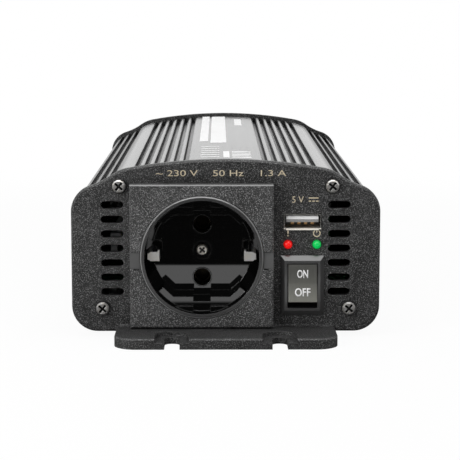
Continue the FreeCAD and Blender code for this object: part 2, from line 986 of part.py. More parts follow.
def contact_sleeves():
    sleeves = []
    start = floor_back + sleeve_start
    stop = start + sleeve_length
    for sign in (-1, 1):
        z = socket_z + sign * pin_spacing / 2
        sleeve = sided_rod(socket_x, z, sleeve_radius, start, stop, plain_sides)
        tail = plate(socket_x, z, 2 * sleeve_tail_half, terminal_thick, stop - 1, stop + sleeve_tail)
        sleeve = joined(sleeve, [tail])
        slit = sorted((z + sign * sleeve_bore / 2, z + sign * (sleeve_radius + 1)))
        cuts = [rod_y(socket_x, z, sleeve_bore, start - 1, stop - sleeve_end_wall)]
        cuts.append(span(socket_x - sleeve_slit_half, socket_x + sleeve_slit_half,
                         start - 1, stop - sleeve_slit_end, slit[0], slit[1]))
        sleeves.append(sleeve.cut(cuts))
    return Part.makeCompound(sleeves)


def socket_screw():
    seat = floor_front + socket_screw_sink
    top = seat - socket_screw_tall
    rim = top + socket_screw_bevel
    head = turned([(top, socket_screw_head - socket_screw_bevel), (rim, socket_screw_head), (seat, socket_screw_head)],
                  screw_sides)
    shank = sided_rod(socket_x, socket_z, screw_shank_radius, seat, floor_back + socket_screw_reach, shank_sides)
    screw = joined(along_y(head, socket_x, socket_z), [shank])
    return screw.cut(cross(socket_x, socket_z, socket_cross_arm, socket_cross_width, top - 1, top + socket_cross_depth))


def earth_clip(sign):
    half = clip_thick / 2
    outer = clip_leg_x + half
    inner = clip_inner_x - half
    top = ring_front + clip_top_depth
    tail_y = ring_front + clip_tail_depth
    root_y = floor_back + clip_root
    face = [(inner, -clip_half), (outer - clip_corner, -clip_half), (outer, -clip_half + clip_corner),
            (outer, clip_half - clip_corner), (outer - clip_corner, clip_half), (inner + clip_barb, clip_half),
            (inner, clip_half + clip_barb)]
    front = prism_y(face, top, top + clip_thick)
    leg = span(clip_leg_x - half, outer, top, root_y, -clip_leg_half, clip_leg_half)
    tail = span(inner, clip_inner_x + half, top, tail_y, -clip_half, clip_half)
    bead = along_z(turned([(-clip_half, clip_bead), (clip_half, clip_bead)], boss_sides), clip_leg_x, root_y)
    clip = joined(front, [leg, tail, bead])
    if sign < 0:
        clip = clip.mirror(V(0, 0, 0), V(1, 0, 0))
    clip.translate(V(socket_x, 0, socket_z))
    return clip


# Rocker switch

def rectangle(x, z, wide, tall, y):
    corners = [(-1, -1), (1, -1), (1, 1), (-1, 1), (-1, -1)]
    return Part.makePolygon([V(x + a * wide / 2, y, z + b * tall / 2) for a, b in corners])


def terminal_tabs(grow):
    tabs = []
    back = front_face + switch_body_depth
    for step in (-1, 0, 1):
        z = switch_z + step * terminal_pitch
        tabs.append(plate(switch_x, z, terminal_width + 2 * grow, terminal_thick + 2 * grow,
                          back - terminal_sunk, back + terminal_reach))
    return tabs


def cross_axle(radius, half):
    axle = turned([(-half, radius), (half, radius)], boss_sides)
    axle.rotate(V(0, 0, 0), V(0, 1, 0), 90)
    axle.translate(V(switch_x, front_face + pivot_depth, switch_z))
    return axle


def switch_housing():
    skirt = plate(switch_x, switch_z, bezel_width, bezel_height, front_face - bezel_edge, front_face)
    rim_width = opening_width + 2 * bezel_rim
    rim_height = opening_height + 2 * bezel_rim
    outer = rectangle(switch_x, switch_z, bezel_width, bezel_height, front_face - bezel_edge)
    inner = rectangle(switch_x, switch_z, rim_width, rim_height, front_face - bezel_depth)
    slope = Part.makeLoft([outer, inner], True)
    body = plate(switch_x, switch_z, switch_body_width, switch_body_height, front_face, front_face + switch_body_depth)
    housing = skirt.fuse([slope, body])
    room = plate(switch_x, switch_z, opening_width, opening_height,
                 front_face - bezel_depth - 1, front_face + switch_cavity_depth)
    seat = (axle_radius + running_fit) / math.cos(math.pi / boss_sides)
    axle = cross_axle(seat, rocker_width / 2 + axle_end + running_fit)
    cuts = [room, axle] + terminal_tabs(thread_clearance)
    return housing.cut(cuts).removeSplitter()


def rocker():
    y = front_face + pivot_depth
    outline = [
        (y - rocker_reach, switch_z - rocker_half),
        (y - rocker_reach + rocker_dip, switch_z),
        (y - rocker_reach, switch_z + rocker_half),
        (y - rocker_skirt, switch_z + rocker_half),
        (y + rocker_knee_y, switch_z + rocker_knee_half),
        (y + rocker_keel_y, switch_z + rocker_keel_half),
        (y + rocker_keel_y, switch_z - rocker_keel_half),
        (y + rocker_knee_y, switch_z - rocker_knee_half),
        (y - rocker_skirt, switch_z - rocker_half),
    ]
    half = rocker_width / 2
    paddle = prism_x(outline, switch_x - half, switch_x + half)
    axle = cross_axle(axle_radius, half + axle_end)
    paddle = paddle.fuse(axle).removeSplitter()
    paddle.rotate(V(switch_x, y, switch_z), V(1, 0, 0), -rocker_tilt)
    return paddle


# USB port

def usb_shell():
    near = front_face - usb_proud
    back = front_face + usb_depth
    tall = usb_height - 2 * usb_wall
    shell = plate(usb_x, usb_z, usb_width, usb_height, near, back)
    lip_low = usb_z - usb_height / 2 - usb_lip_drop
    lip = span(usb_x - usb_lip_width / 2, usb_x + usb_lip_width / 2, near - usb_proud, front_face,
               lip_low, lip_low + usb_lip_height)
    room = plate(usb_x, usb_z, usb_width - 2 * usb_wall, tall, near - 1, back + 1)
    return joined(shell, [lip]).cut(room)


def tongue_top():
    return usb_z + usb_height / 2 - usb_wall - tongue_gap


def usb_tongue():
    tip = front_face + tongue_sunk
    root = tip + tongue_length
    top = tongue_top()
    low = top - tongue_height
    side = [(tip, low), (tip, top - tongue_bevel), (tip + tongue_bevel / 2, top), (root, top), (root, low)]
    blade = prism_x(side, usb_x - tongue_width / 2, usb_x + tongue_width / 2)
    plug = plate(usb_x, usb_z, usb_width - 2 * usb_wall, usb_height - 2 * usb_wall, root, front_face + usb_depth)
    return joined(blade, [plug])


def usb_contacts():
    strips = []
    low = tongue_top() - tongue_height
    tip = front_face + contact_sunk
    bow = tip + contact_bulge
    side = [
        (tip, low),
        (tip, low - contact_thick),
        (bow, low - contact_bulge),
        (bow + contact_flat, low - contact_bulge),
        (bow + contact_return, low - contact_thick),
        (tip + contact_run, low - contact_thick),
        (tip + contact_run, low),
    ]
    for index in range(contact_count):
        x = usb_x + (index - (contact_count - 1) / 2) * contact_pitch
        strips.append(prism_x(side, x - contact_width / 2, x + contact_width / 2))
    return Part.makeCompound(strips)


# Indicator lamps and their board

def lamp(x):
    tip = front_face - lamp_proud
    profile = [(tip, lamp_tip_radius), (tip + lamp_shoulder, lamp_radius - lamp_shoulder_inset),
               (tip + lamp_round, lamp_radius), (front_inner, lamp_radius)]
    flange = [(front_inner, lamp_flange), (front_inner + lamp_flange_thick, lamp_flange)]
    return along_y(joined(turned(profile, lamp_sides), [turned(flange, lamp_sides)]), x, lamp_z)


def lamp_legs():
    wires = []
    near = front_inner + lamp_flange_thick
    for x in lamp_x:
        for step in (-leg_spread, leg_spread):
            wires.append(plate(x + step, lamp_z, 2 * leg_half, 2 * leg_half, near, front_face + usb_depth))
    return Part.makeCompound(wires)


def panel_board():
    near = front_face + usb_depth
    board = span(panel_board_left, panel_board_right, near, near + board_thick, panel_board_low, panel_board_high)
    holes = [sided_hole(x, z, post_pilot + hole_clearance, near - 1, near + board_thick + 1, boss_sides)
             for x, z in panel_posts()]
    return board.cut(holes)


def panel_board_screws():
    back = front_face + usb_depth + board_thick
    screws = []
    for x, z in panel_posts():
        head = sided_rod(x, z, small_head_radius, back, back + small_head_height, boss_sides)
        shank = sided_rod(x, z, post_pilot - thread_clearance, back - post_pilot_depth, back, shank_sides)
        screws.append(joined(head, [shank]))
    return Part.makeCompound(screws)


# Fan

def fan_frame():
    near = rear_inner - fan_depth
    block = plate(fan_x, fan_z, fan_size, fan_size, near, rear_inner)
    upright = [e for e in block.Edges if abs(e.Length - fan_depth) < 0.001]
    block = block.makeChamfer(fan_corner, upright)
    waist_near = near + fan_plate
    waist_far = rear_inner - fan_plate
    waist = plate(fan_x, fan_z, fan_size + 2, fan_size + 2, waist_near, waist_far)
    kept = [sided_rod(fan_x, fan_z, fan_bore + fan_lip, near, rear_inner, fan_sides)]
    for x, z in fan_hole_places():
        kept.append(sided_rod(x, z, fan_column, near, rear_inner, boss_sides))
    bore = sided_hole(fan_x, fan_z, fan_bore, near - 1, rear_inner + 1, fan_sides)
    block = block.cut([waist.cut(kept), bore])
    spokes = [sided_rod(fan_x, fan_z, fan_hub, near, near + spoke_thick, fan_sides)]
    for turn in spoke_turns:
        spoke = span(fan_x + fan_hub - 1, fan_x + fan_bore + spoke_sunk, near, near + spoke_thick,
                     fan_z - spoke_half, fan_z + spoke_half)
        spoke.rotate(V(fan_x, 0, fan_z), V(0, 1, 0), turn)
        spokes.append(spoke)
    spokes.append(sided_rod(fan_x, fan_z, fan_pin, near, near + fan_pin_reach, plain_sides))
    block = block.fuse(spokes)
    hole = screw_shank_radius + thread_clearance
    cuts = [sided_hole(x, z, hole, near - 1, rear_inner + 1, boss_sides) for x, z in fan_hole_places()]
    return block.cut(cuts).removeSplitter()


def fan_rotor():
    near = rear_inner - fan_depth + spoke_thick + rotor_gap
    far = rear_inner - rotor_recess
    hub = sided_rod(fan_x, fan_z, fan_hub - rotor_hub_gap, near, far, fan_sides)
    middle = (near + far) / 2
    tip = fan_bore - blade_tip_gap
    room = span(fan_x, fan_x + tip, near + blade_near, far - blade_far, fan_z - fan_size / 2, fan_z + fan_size / 2)
    blades = []
    for index in range(fan_blades):
        blade = span(fan_x + fan_hub - blade_root, fan_x + tip - blade_trim, middle - blade_wide / 2,
                     middle + blade_wide / 2, fan_z - blade_thick / 2, fan_z + blade_thick / 2)
        blade.rotate(V(fan_x, middle, fan_z), V(1, 0, 0), blade_angle)
        blade = blade.common(room)
        blade.rotate(V(fan_x, middle, fan_z), V(0, 1, 0), index * 360.0 / fan_blades)
        blades.append(blade)
    rotor = hub.fuse(blades)
    bore = sided_hole(fan_x, fan_z, fan_pin + running_fit, near - 1, near + rotor_bore_depth, plain_sides)
    return rotor.cut(bore).removeSplitter()


# Battery posts

def collar(x):
    stop = rear_face + collar_depth
    flange = [(rear_face, collar_radius), (stop - collar_bevel, collar_radius), (stop, collar_radius - collar_bevel)]
    shape = along_y(turned(flange, post_sides), x, post_z)
    neck = sided_rod(x, post_z, collar_neck, rear_inner, rear_face, screw_sides)
    bore = sided_hole(x, post_z, stud_radius + thread_clearance, rear_inner - 1, stop + 1, screw_sides)
    return joined(shape, [neck]).cut(bore)


def post_studs():
    near = rear_inner - stud_inner
    far = rear_face + stud_outer
    return Part.makeCompound([sided_rod(x, post_z, stud_radius, near, far, screw_sides) for x in post_x])


def ring_lugs():
    lugs = []
    near = rear_inner - lug_thick
    middle = rear_inner - lug_barrel_radius
    for x in post_x:
        ring_part = sided_rod(x, post_z, lug_radius, near, rear_inner, screw_sides)
        strap = span(x - lug_strap_half, x + lug_strap_half, near, rear_inner,
                     post_z - lug_barrel_low, post_z - stud_radius - 1)
        barrel = turned([(post_z - lug_barrel_low, lug_barrel_radius), (post_z - lug_barrel_top, lug_barrel_radius)],
                        boss_sides)
        lug = joined(ring_part, [strap, along_z(barrel, x, middle)])
        bore = sided_hole(x, post_z, stud_radius + thread_clearance, near - 1, rear_inner + 1, screw_sides)
        crimp = heavy_lead + fit
        hole = turned([(post_z - lug_barrel_low - 1, crimp), (post_z - lug_barrel_top - 1, crimp)], lead_sides)
        lugs.append(lug.cut([bore, along_z(hole, x, middle)]))
    return Part.makeCompound(lugs)


def post_nuts():
    nuts = []
    far = rear_inner - lug_thick
    near = far - nut_thick
    for x in post_x:
        nut = sided_rod(x, post_z, nut_radius, near, far, nut_sides)
        bore = sided_hole(x, post_z, stud_radius + thread_clearance, near - 1, far + 1, screw_sides)
        nuts.append(nut.cut(bore))
    return Part.makeCompound(nuts)


def post_washer(x):
    start = rear_face + collar_depth
    disc = sided_rod(x, post_z, washer_radius, start, start + washer_thick, post_sides)
    return disc.cut(sided_hole(x, post_z, stud_radius + running_fit, start - 1, start + washer_thick + 1, screw_sides))


def fluted(scale, y):
    pitch = 2 * math.pi / knob_flutes
    crest = scale * knob_radius
    valley = scale * (knob_radius - knob_flute_depth)
    points = []
    for index in range(knob_flutes):
        for share, reach in ((-knob_crest_share, crest), (knob_crest_share, crest), (0.5, valley)):
            turn = (index + share) * pitch
            points.append(V(reach * math.cos(turn), y, reach * math.sin(turn)))
    return points


def post_knob(x):
    start = rear_face + collar_depth + washer_thick
    stop = start + knob_depth
    skirt = sided_rod(x, post_z, knob_radius, start, start + knob_skirt, post_sides)
    top_scale = 1 - knob_crown / knob_radius
    grip = stacked([fluted(1, start + knob_skirt), fluted(1, stop - knob_crown), fluted(top_scale, stop)])
    grip.translate(V(x, 0, post_z))
    bore = sided_hole(x, post_z, stud_radius + running_fit, start - 1, stop - knob_roof, screw_sides)
    return joined(skirt, [grip]).cut(bore)


# Circuit board and what stands on it

def main_board():
    return span(-board_half, board_half, board_front, board_rear, board_z, board_top)


def core_top():
    return roof_z - core_roof_gap


def core_cuts():
    low = board_top + core_lift + core_yoke
    high = core_top() - core_yoke
    cuts = []
    for sign in (-1, 1):
        cuts.append(side_span(sign, core_leg / 2, core_leg / 2 + core_window,
                              core_y - core_deep / 2 - 1, core_y + core_deep / 2 + 1, low, high))
    return cuts


def transformer_core():
    block = span(-core_wide / 2, core_wide / 2, core_y - core_deep / 2, core_y + core_deep / 2,
                 board_top + core_lift, core_top())
    return block.cut(core_cuts())


def transformer_winding():
    low = board_top + core_lift
    bobbin = span(-bobbin_wide / 2, bobbin_wide / 2, core_y - bobbin_deep / 2, core_y + bobbin_deep / 2, board_top, low)
    coil = span(-coil_wide / 2, coil_wide / 2, core_y - coil_deep / 2, core_y + coil_deep / 2,
                low + core_yoke + 3 * core_gap, core_top() - core_yoke - 3 * core_gap)
    upright = [e for e in coil.Edges if e.BoundBox.ZLength > core_yoke]
    coil = coil.makeChamfer(coil_corner, upright)
    posts = []
    for y in (core_y - coil_deep / 2, core_y + coil_deep / 2 - coil_post):
        posts.append(span(-coil_wide / 2 + coil_corner, coil_wide / 2 - coil_corner, y, y + coil_post,
                          board_top + 1, low + 2 * core_yoke))
    coil = joined(bobbin, [coil] + posts)
    near = core_y - core_deep / 2 - core_gap
    far = core_y + core_deep / 2 + core_gap
    leg_half = core_leg / 2 + core_gap
    leg_room = span(-leg_half, leg_half, near, far, low, core_top())
    yoke_room = span(-core_wide / 2 - 1, core_wide / 2 + 1, near, far, low, low + core_yoke + core_gap)
    return coil.cut([leg_room, yoke_room])


def can(x, y, radius, tall):
    top = board_top + tall
    return along_z(turned([(board_top, radius), (top - can_bevel, radius), (top, radius - can_bevel)], can_sides), x, y)


def bulk_capacitors():
    tall = roof_z - bulk_roof_gap - board_top
    return Part.makeCompound([can(x, bulk_y, bulk_radius, tall) for x in bulk_x])


def input_capacitors():
    return Part.makeCompound([can(x, input_y, input_radius, input_tall) for x in input_x])


def row_ends(first):
    return first - pad_over, first + (transistor_count - 1) * transistor_pitch + pad_over


def power_transistors():
    parts = []
    face = inside_x - pad_thick
    for sign, first in transistor_rows:
        for index in range(transistor_count):
            y = first + index * transistor_pitch
            tab = side_span(sign, face - transistor_tab, face, y - transistor_half, y + transistor_half,
                            transistor_low, transistor_high)
            bodies = [side_span(sign, face - transistor_thick, face - transistor_tab, y - transistor_half,
                                y + transistor_half, transistor_low, transistor_mid)]
            for step in (-1, 0, 1):
                middle = y + step * transistor_leg_pitch
                bodies.append(side_span(sign, face - transistor_leg_inset - transistor_leg, face - transistor_leg_inset,
                                        middle - transistor_leg_half, middle + transistor_leg_half,
                                        board_top, transistor_low))
            parts.append(joined(tab, bodies))
    return Part.makeCompound(parts)


def insulating_pads():
    pads = []
    for sign, first in transistor_rows:
        y0, y1 = row_ends(first)
        pads.append(side_span(sign, inside_x - pad_thick, inside_x, y0, y1, pad_low, pad_high))
    return Part.makeCompound(pads)


def clamp_bars():
    bars = []
    face = inside_x - pad_thick - transistor_thick
    for sign, first in transistor_rows:
        y0, y1 = row_ends(first)
        bar = side_span(sign, face - clamp_thick, face, y0, y1, clamp_low, clamp_high)
        lip = side_span(sign, face - clamp_thick - clamp_lip, face - clamp_thick, y0, y1,
                        clamp_high - clamp_lip, clamp_high)
        bars.append(joined(bar, [lip]))
    return Part.makeCompound(bars)


def output_choke():
    low = board_top
    high = board_top + choke_tall
    outer = turned([(low, choke_radius - choke_bevel), (low + choke_bevel, choke_radius),
                    (high - choke_bevel, choke_radius), (high, choke_radius - choke_bevel)], post_sides)
    inner = turned([(low - 1, choke_bore), (high + 1, choke_bore)], screw_sides)
    return along_z(outer.cut(inner), choke_x, choke_y)


def film_capacitor():
    block = span(film_x - film_wide / 2, film_x + film_wide / 2, film_y - film_deep / 2, film_y + film_deep / 2,
                 board_top, board_top + film_tall)
    upright = [e for e in block.Edges if abs(e.BoundBox.ZLength - film_tall) < 0.01]
    return block.makeChamfer(film_bevel, upright)


def blade_fuses():
    fuses = []
    low = board_top + fuse_low
    for y in fuse_y:
        body = span(fuse_x - fuse_wide / 2, fuse_x + fuse_wide / 2, y - fuse_deep / 2, y + fuse_deep / 2,
                    low, board_top + fuse_high)
        notch = span(fuse_x - fuse_notch / 2, fuse_x + fuse_notch / 2, y - fuse_deep / 2 - 1,
                     y - fuse_deep / 2 + fuse_notch_depth, board_top + fuse_notch_low, board_top + fuse_high + 1)
        legs = []
        for sign in (-1, 1):
            x = fuse_x + sign * fuse_leg_x
            legs.append(span(x - fuse_leg_wide / 2, x + fuse_leg_wide / 2, y - fuse_leg_thick / 2,
                             y + fuse_leg_thick / 2, board_top, low))
        fuses.append(joined(body, legs).cut(notch))
    return Part.makeCompound(fuses)


def driver_board():
    return span(driver_x, driver_x + board_thick, driver_front, driver_front + driver_long,
                board_top, board_top + driver_tall)


def driver_chips():
    chips = []
    near = driver_x + board_thick
    low = board_top + chip_low
    for start in chip_starts:
        y = driver_front + start
        chips.append(span(near, near + chip_thick, y, y + chip_long, low, low + chip_tall))
    return Part.makeCompound(chips)


# Leads

def lead(points, radius):
    corners = [V(*point) for point in points]
    section = closed(ring(radius, 0, lead_sides))
    if corners[0].y != corners[1].y:
        section.rotate(V(0, 0, 0), V(1, 0, 0), 90)
    section.translate(corners[0])
    return Part.makePolygon(corners).makePipeShell([section], True, False, 1)


def post_lead(x):
    y = rear_inner - lug_barrel_radius
    z = board_top + heavy_lead + lead_rest
    start = post_z - lug_barrel_top - post_lead_start
    return lead([(x, y, start), (x, y, z), (x, board_rear - post_lead_reach, z)], heavy_lead)


def mains_leads():
    wires = []
    start = floor_back + sleeve_start + sleeve_length + sleeve_tail
    for sign, drop in mains_lead_drops:
        z = socket_z + sign * pin_spacing / 2
        y = board_front + drop
        wires.append(lead([(socket_x, start, z), (socket_x, y, z), (socket_x, y, board_top)], mains_lead))
    return Part.makeCompound(wires)


def switch_leads():
    wires = []
    back = front_face + switch_body_depth + terminal_reach
    for step, drop in switch_lead_drops:
        z = switch_z + step * terminal_pitch
        y = board_front + drop
        wires.append(lead([(switch_x, back, z), (switch_x, y, z), (switch_x, y, board_top)], switch_lead))
    return Part.makeCompound(wires)


def fan_leads():
    wires = []
    y = rear_inner - fan_depth
    z = fan_z - fan_size / 2 + fan_lead_lift
    drop_y = board_rear + fan_lead_gap
    rest = board_top + fan_lead
    for step in (0, fan_lead_pitch):
        x = fan_x - fan_lead_inset + step
        end = (x, board_rear - fan_lead_reach, rest)
        wires.append(lead([(x, y, z), (x, drop_y, z), (x, drop_y, rest), end], fan_lead))
    return Part.makeCompound(wires)


nodes = {
    "extruded_body": extruded_body(),
    "front_end_cap": front_end_cap(),
    "rear_end_cap": rear_end_cap(),
    "front_cap_screws": cap_screws(screw_sides),
    "rear_cap_screws": rear_cap_screws(),
    "socket_frame": socket_frame(),
    "socket_cup": socket_cup(),
    "socket_base": socket_base(),
    "contact_sleeves": contact_sleeves(),
    "socket_screw": socket_screw(),
    "earth_clip_left": earth_clip(-1),
    "earth_clip_right": earth_clip(1),
    "switch_housing": switch_housing(),
    "switch_rocker": rocker(),
    "switch_terminals": Part.makeCompound(terminal_tabs(0)),
    "usb_shell": usb_shell(),
    "usb_tongue": usb_tongue(),
    "usb_contacts": usb_contacts(),
    "fault_lamp": lamp(lamp_x[0]),
    "power_lamp": lamp(lamp_x[1]),
    "lamp_legs": lamp_legs(),
    "panel_board": panel_board(),
    "panel_board_screws": panel_board_screws(),
    "fan_frame": fan_frame(),
    "fan_rotor": fan_rotor(),
    "fan_screws": fan_screws(),
    "positive_collar": collar(post_x[0]),
    "negative_collar": collar(post_x[1]),
    "post_studs": post_studs(),
    "ring_lugs": ring_lugs(),
    "post_nuts": post_nuts(),
    "positive_washer": post_washer(post_x[0]),
    "negative_washer": post_washer(post_x[1]),
    "positive_knob": post_knob(post_x[0]),
    "negative_knob": post_knob(post_x[1]),
    "main_board": main_board(),
    "transformer_core": transformer_core(),
    "transformer_winding": transformer_winding(),
    "bulk_capacitors": bulk_capacitors(),
    "input_capacitors": input_capacitors(),
    "power_transistors": power_transistors(),
    "insulating_pads": insulating_pads(),
    "clamp_bars": clamp_bars(),
    "output_choke": output_choke(),
    "film_capacitor": film_capacitor(),
    "blade_fuses": blade_fuses(),
    "driver_board": driver_board(),
    "driver_chips": driver_chips(),
    "positive_lead": post_lead(post_x[0]),
    "negative_lead": post_lead(post_x[1]),
    "mains_leads": mains_leads(),
    "switch_leads": switch_leads(),
    "fan_leads": fan_leads(),
}

for name, shape in nodes.items():
    save(shape, name)
    print(name, shape.isValid(), len(shape.Solids), round(shape.Volume, 1))
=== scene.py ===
import math

import bmesh
import bpy
from mathutils import Matrix, Vector


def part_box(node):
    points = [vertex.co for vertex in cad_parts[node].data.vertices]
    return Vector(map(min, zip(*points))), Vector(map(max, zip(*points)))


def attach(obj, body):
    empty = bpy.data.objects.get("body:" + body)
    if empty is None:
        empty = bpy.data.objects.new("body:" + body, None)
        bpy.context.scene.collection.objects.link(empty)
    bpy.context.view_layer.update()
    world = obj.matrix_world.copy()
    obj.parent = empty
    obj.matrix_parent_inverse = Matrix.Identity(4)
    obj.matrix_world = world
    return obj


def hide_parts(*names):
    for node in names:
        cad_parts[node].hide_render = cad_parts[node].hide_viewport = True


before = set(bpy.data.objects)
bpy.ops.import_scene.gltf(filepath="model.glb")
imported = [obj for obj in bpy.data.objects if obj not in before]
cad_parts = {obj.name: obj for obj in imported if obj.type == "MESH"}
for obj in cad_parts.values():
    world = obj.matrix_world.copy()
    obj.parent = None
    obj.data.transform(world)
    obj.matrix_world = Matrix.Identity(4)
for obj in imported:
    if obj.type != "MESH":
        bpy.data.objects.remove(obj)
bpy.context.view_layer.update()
scene = bpy.context.scene
mm = 0.001
print("frame loaded,", len(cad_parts), "nodes")


# Sums on sockets, and a board that nodes are added to

class Value:
    def __init__(self, board, socket):
        self.board = board
        self.socket = socket

    def sum(self, operation, other, turned=False):
        pair = (other, self) if turned else (self, other)
        return self.board.add("ShaderNodeMath", {"operation": operation}, {0: pair[0], 1: pair[1]})

    def __add__(self, other):
        return self.sum("ADD", other)

    def __radd__(self, other):
        return self.sum("ADD", other, True)

    def __sub__(self, other):
        return self.sum("SUBTRACT", other)

    def __rsub__(self, other):
        return self.sum("SUBTRACT", other, True)

    def __mul__(self, other):
        return self.sum("MULTIPLY", other)

    def __rmul__(self, other):
        return self.sum("MULTIPLY", other, True)

    def __gt__(self, other):
        return self.sum("GREATER_THAN", other)

    def __lt__(self, other):
        return self.sum("LESS_THAN", other)

    def __abs__(self):
        return self.board.add("ShaderNodeMath", {"operation": "ABSOLUTE"}, {0: self})

    def between(self, low, high):
        ramp = {"interpolation_type": "SMOOTHSTEP", "clamp": True}
        return self.board.add("ShaderNodeMapRange", ramp, {"Value": self, "From Min": low, "From Max": high})

    def either(self, other):
        return self.sum("MAXIMUM", other)


class Board:
    def __init__(self, tree):
        self.tree = tree
        tree.nodes.clear()

    def add(self, kind, settings=None, sockets=None, output=0):
        node = self.tree.nodes.new(kind)
        for name, value in (settings or {}).items():
            setattr(node, name, value)
        for name, value in (sockets or {}).items():
            target = node.inputs[name]
            if isinstance(value, Value):
                self.tree.links.new(value.socket, target)
            else:
                target.default_value = value
        if not node.outputs:
            return node
        return Value(self, node.outputs[output])

    def place(self):
        return self.add("ShaderNodeTexCoord", output="Object")

    def axes(self, names):
        split = self.add("ShaderNodeSeparateXYZ", {}, {"Vector": self.place()})
        outputs = split.socket.node.outputs
        return [Value(self, outputs[name]) for name in names]

    def noise(self, scale, detail=3.0, roughness=0.5, stretch=(1, 1, 1)):
        where = self.add("ShaderNodeMapping", {}, {"Vector": self.place(), "Scale": stretch})
        grain = {"Vector": where, "Scale": scale, "Detail": detail, "Roughness": roughness}
        return self.add("ShaderNodeTexNoise", {}, grain)

    def mix(self, factor, first, second):
        return self.add("ShaderNodeMix", {"data_type": "RGBA"}, {0: factor, 6: first, 7: second}, 2)


def shade(level):
    return (level, level, level, 1.0)


def tint(red, green, blue):
    return (red, green, blue, 1.0)


def newFinish(name):
    material = bpy.data.materials.new(name)
    material.use_nodes = True
    return material, Board(material.node_tree)


def closeFinish(material, board, sockets, fixed=None, height=None, bump=0.0, edge=0.0):
    inputs = dict(fixed or {})
    inputs.update(sockets)
    rounded = None
    if edge:
        rounded = board.add("ShaderNodeBevel", {"samples": 6}, {"Radius": edge})
        inputs["Normal"] = rounded
    if height is not None:
        relief = {"Height": height, "Distance": bump, "Strength": 1.0}
        if rounded is not None:
            relief["Normal"] = rounded
        inputs["Normal"] = board.add("ShaderNodeBump", {}, relief)
    surface = board.add("ShaderNodeBsdfPrincipled", {}, inputs)
    board.add("ShaderNodeOutputMaterial", {}, {"Surface": surface})
    return material


# Finishes

socketX = -8.3 * mm
crownRadius = 190 * mm
crownTop = 60.9 * mm
grainLook = {
    "pimple": 3000, "cloud": 120, "speckFrom": 0.54, "speckTo": 0.66, "speckShare": 0.85,
    "rough": 0.42, "speckRough": -0.12, "cloudRough": 0.08, "ior": 1.5, "bump": 0.16 * mm,
    "edge": 0.35 * mm,
}
capLook = {"dark": shade(0.002), "light": shade(0.17)}
# The edge keys and the pale tone below paint a highlight along the frame's top edge, in place of light caught
# by its chamfer.
frameLook = {
    "dark": shade(0.010), "light": shade(0.27), "tone": 0.24, "paintedHighlight": shade(0.24),
    "x": socketX, "reach": 20.8 * mm, "z": 27.65 * mm, "half": 2.9 * mm,
    "top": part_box("socket_frame")[1][2], "edgeLow": 0.6 * mm, "edgeFull": 0.4 * mm,
    "edgeFade": 0.12 * mm, "edgeEnd": 0.02 * mm,
}


def grain(board):
    pimples = board.noise(grainLook["pimple"], 1.0, 0.6)
    cloud = board.noise(grainLook["cloud"], 2.0, 0.5)
    return pimples, pimples.between(grainLook["speckFrom"], grainLook["speckTo"]), cloud


def grainColour(board, look, specks, cloud):
    toneMix = specks * grainLook["speckShare"] + cloud * (1 - grainLook["speckShare"])
    return board.mix(toneMix, look["dark"], look["light"])


def closeGrain(material, board, colour, specks, cloud, relief):
    gloss = grainLook["rough"] + specks * grainLook["speckRough"] + cloud * grainLook["cloudRough"]
    sockets = {"Base Color": colour, "Roughness": gloss}
    return closeFinish(material, board, sockets, {"IOR": grainLook["ior"]}, relief, grainLook["bump"],
                       grainLook["edge"])


def capFinish(look):
    material, board = newFinish("texturedCap")
    pimples, specks, cloud = grain(board)
    colour = grainColour(board, look, specks, cloud)
    return closeGrain(material, board, colour, specks, cloud, pimples)


def frameFinish(look):
    material, board = newFinish("texturedFrame")
    pimples, specks, cloud = grain(board)
    x, z = board.axes("XZ")
    side = abs(x - look["x"]) > look["reach"]
    level = abs(z - look["z"]) < look["half"]
    plain = 1.0 - side * level
    specks = specks * plain + (1.0 - plain) * look["tone"]
    colour = grainColour(board, look, specks, cloud)
    # Painted highlight: a pale band just under the frame's top edge, standing in for light on its chamfer.
    paintedHighlightBand = z.between(look["top"] - look["edgeLow"], look["top"] - look["edgeFull"])
    paintedHighlightBand = paintedHighlightBand * (1.0 - z.between(look["top"] - look["edgeFade"], look["top"] - look["edgeEnd"]))
    colour = board.mix(paintedHighlightBand, colour, look["paintedHighlight"])
    return closeGrain(material, board, colour, specks, cloud, pimples * plain)


plasticLook = {
    "rough": 0.45, "ior": 1.5, "coat": 0.0, "coatRough": 0.08, "edge": 0.2 * mm, "bump": 0.004 * mm,
    "haze": 60, "fine": 900, "blendFrom": 0.3, "blendTo": 0.7, "hazeRough": 0.02, "hazeShare": 0.15,
    "fineRough": 0.02,
}
metalLook = {
    "brush": 400, "stretch": (1, 1, 1), "blendFrom": 0.3, "blendTo": 0.7, "brushRough": 0.12,
    "bump": 0.006 * mm, "edge": 0.15 * mm,
}


def smoothPlastic(look):
    look = dict(plasticLook, **look)
    material, board = newFinish(look["name"])
    haze = board.noise(look["haze"], 3.0, 0.5)
    fine = board.noise(look["fine"], 2.0, 0.5)
    blend = board.mix(haze.between(look["blendFrom"], look["blendTo"]), look["colour"], look["second"])
    hazeRough = look["hazeRough"] + look["rough"] * look["hazeShare"]
    gloss = look["rough"] + haze * hazeRough + fine * look["fineRough"]
    sockets = {"Base Color": blend, "Roughness": gloss}
    fixed = {"IOR": look["ior"], "Coat Weight": look["coat"], "Coat Roughness": look["coatRough"]}
    return closeFinish(material, board, sockets, fixed, fine, look["bump"], look["edge"])


def metalFinish(look):
    look = dict(metalLook, **look)
    material, board = newFinish(look["name"])
    brush = board.noise(look["brush"], 4.0, 0.6, look["stretch"])
    blend = board.mix(brush.between(look["blendFrom"], look["blendTo"]), look["colour"], look["second"])
    sockets = {"Base Color": blend, "Roughness": look["rough"] + brush * look["brushRough"]}
    return closeFinish(material, board, sockets, {"Metallic": 1.0}, brush, look["bump"], look["edge"])


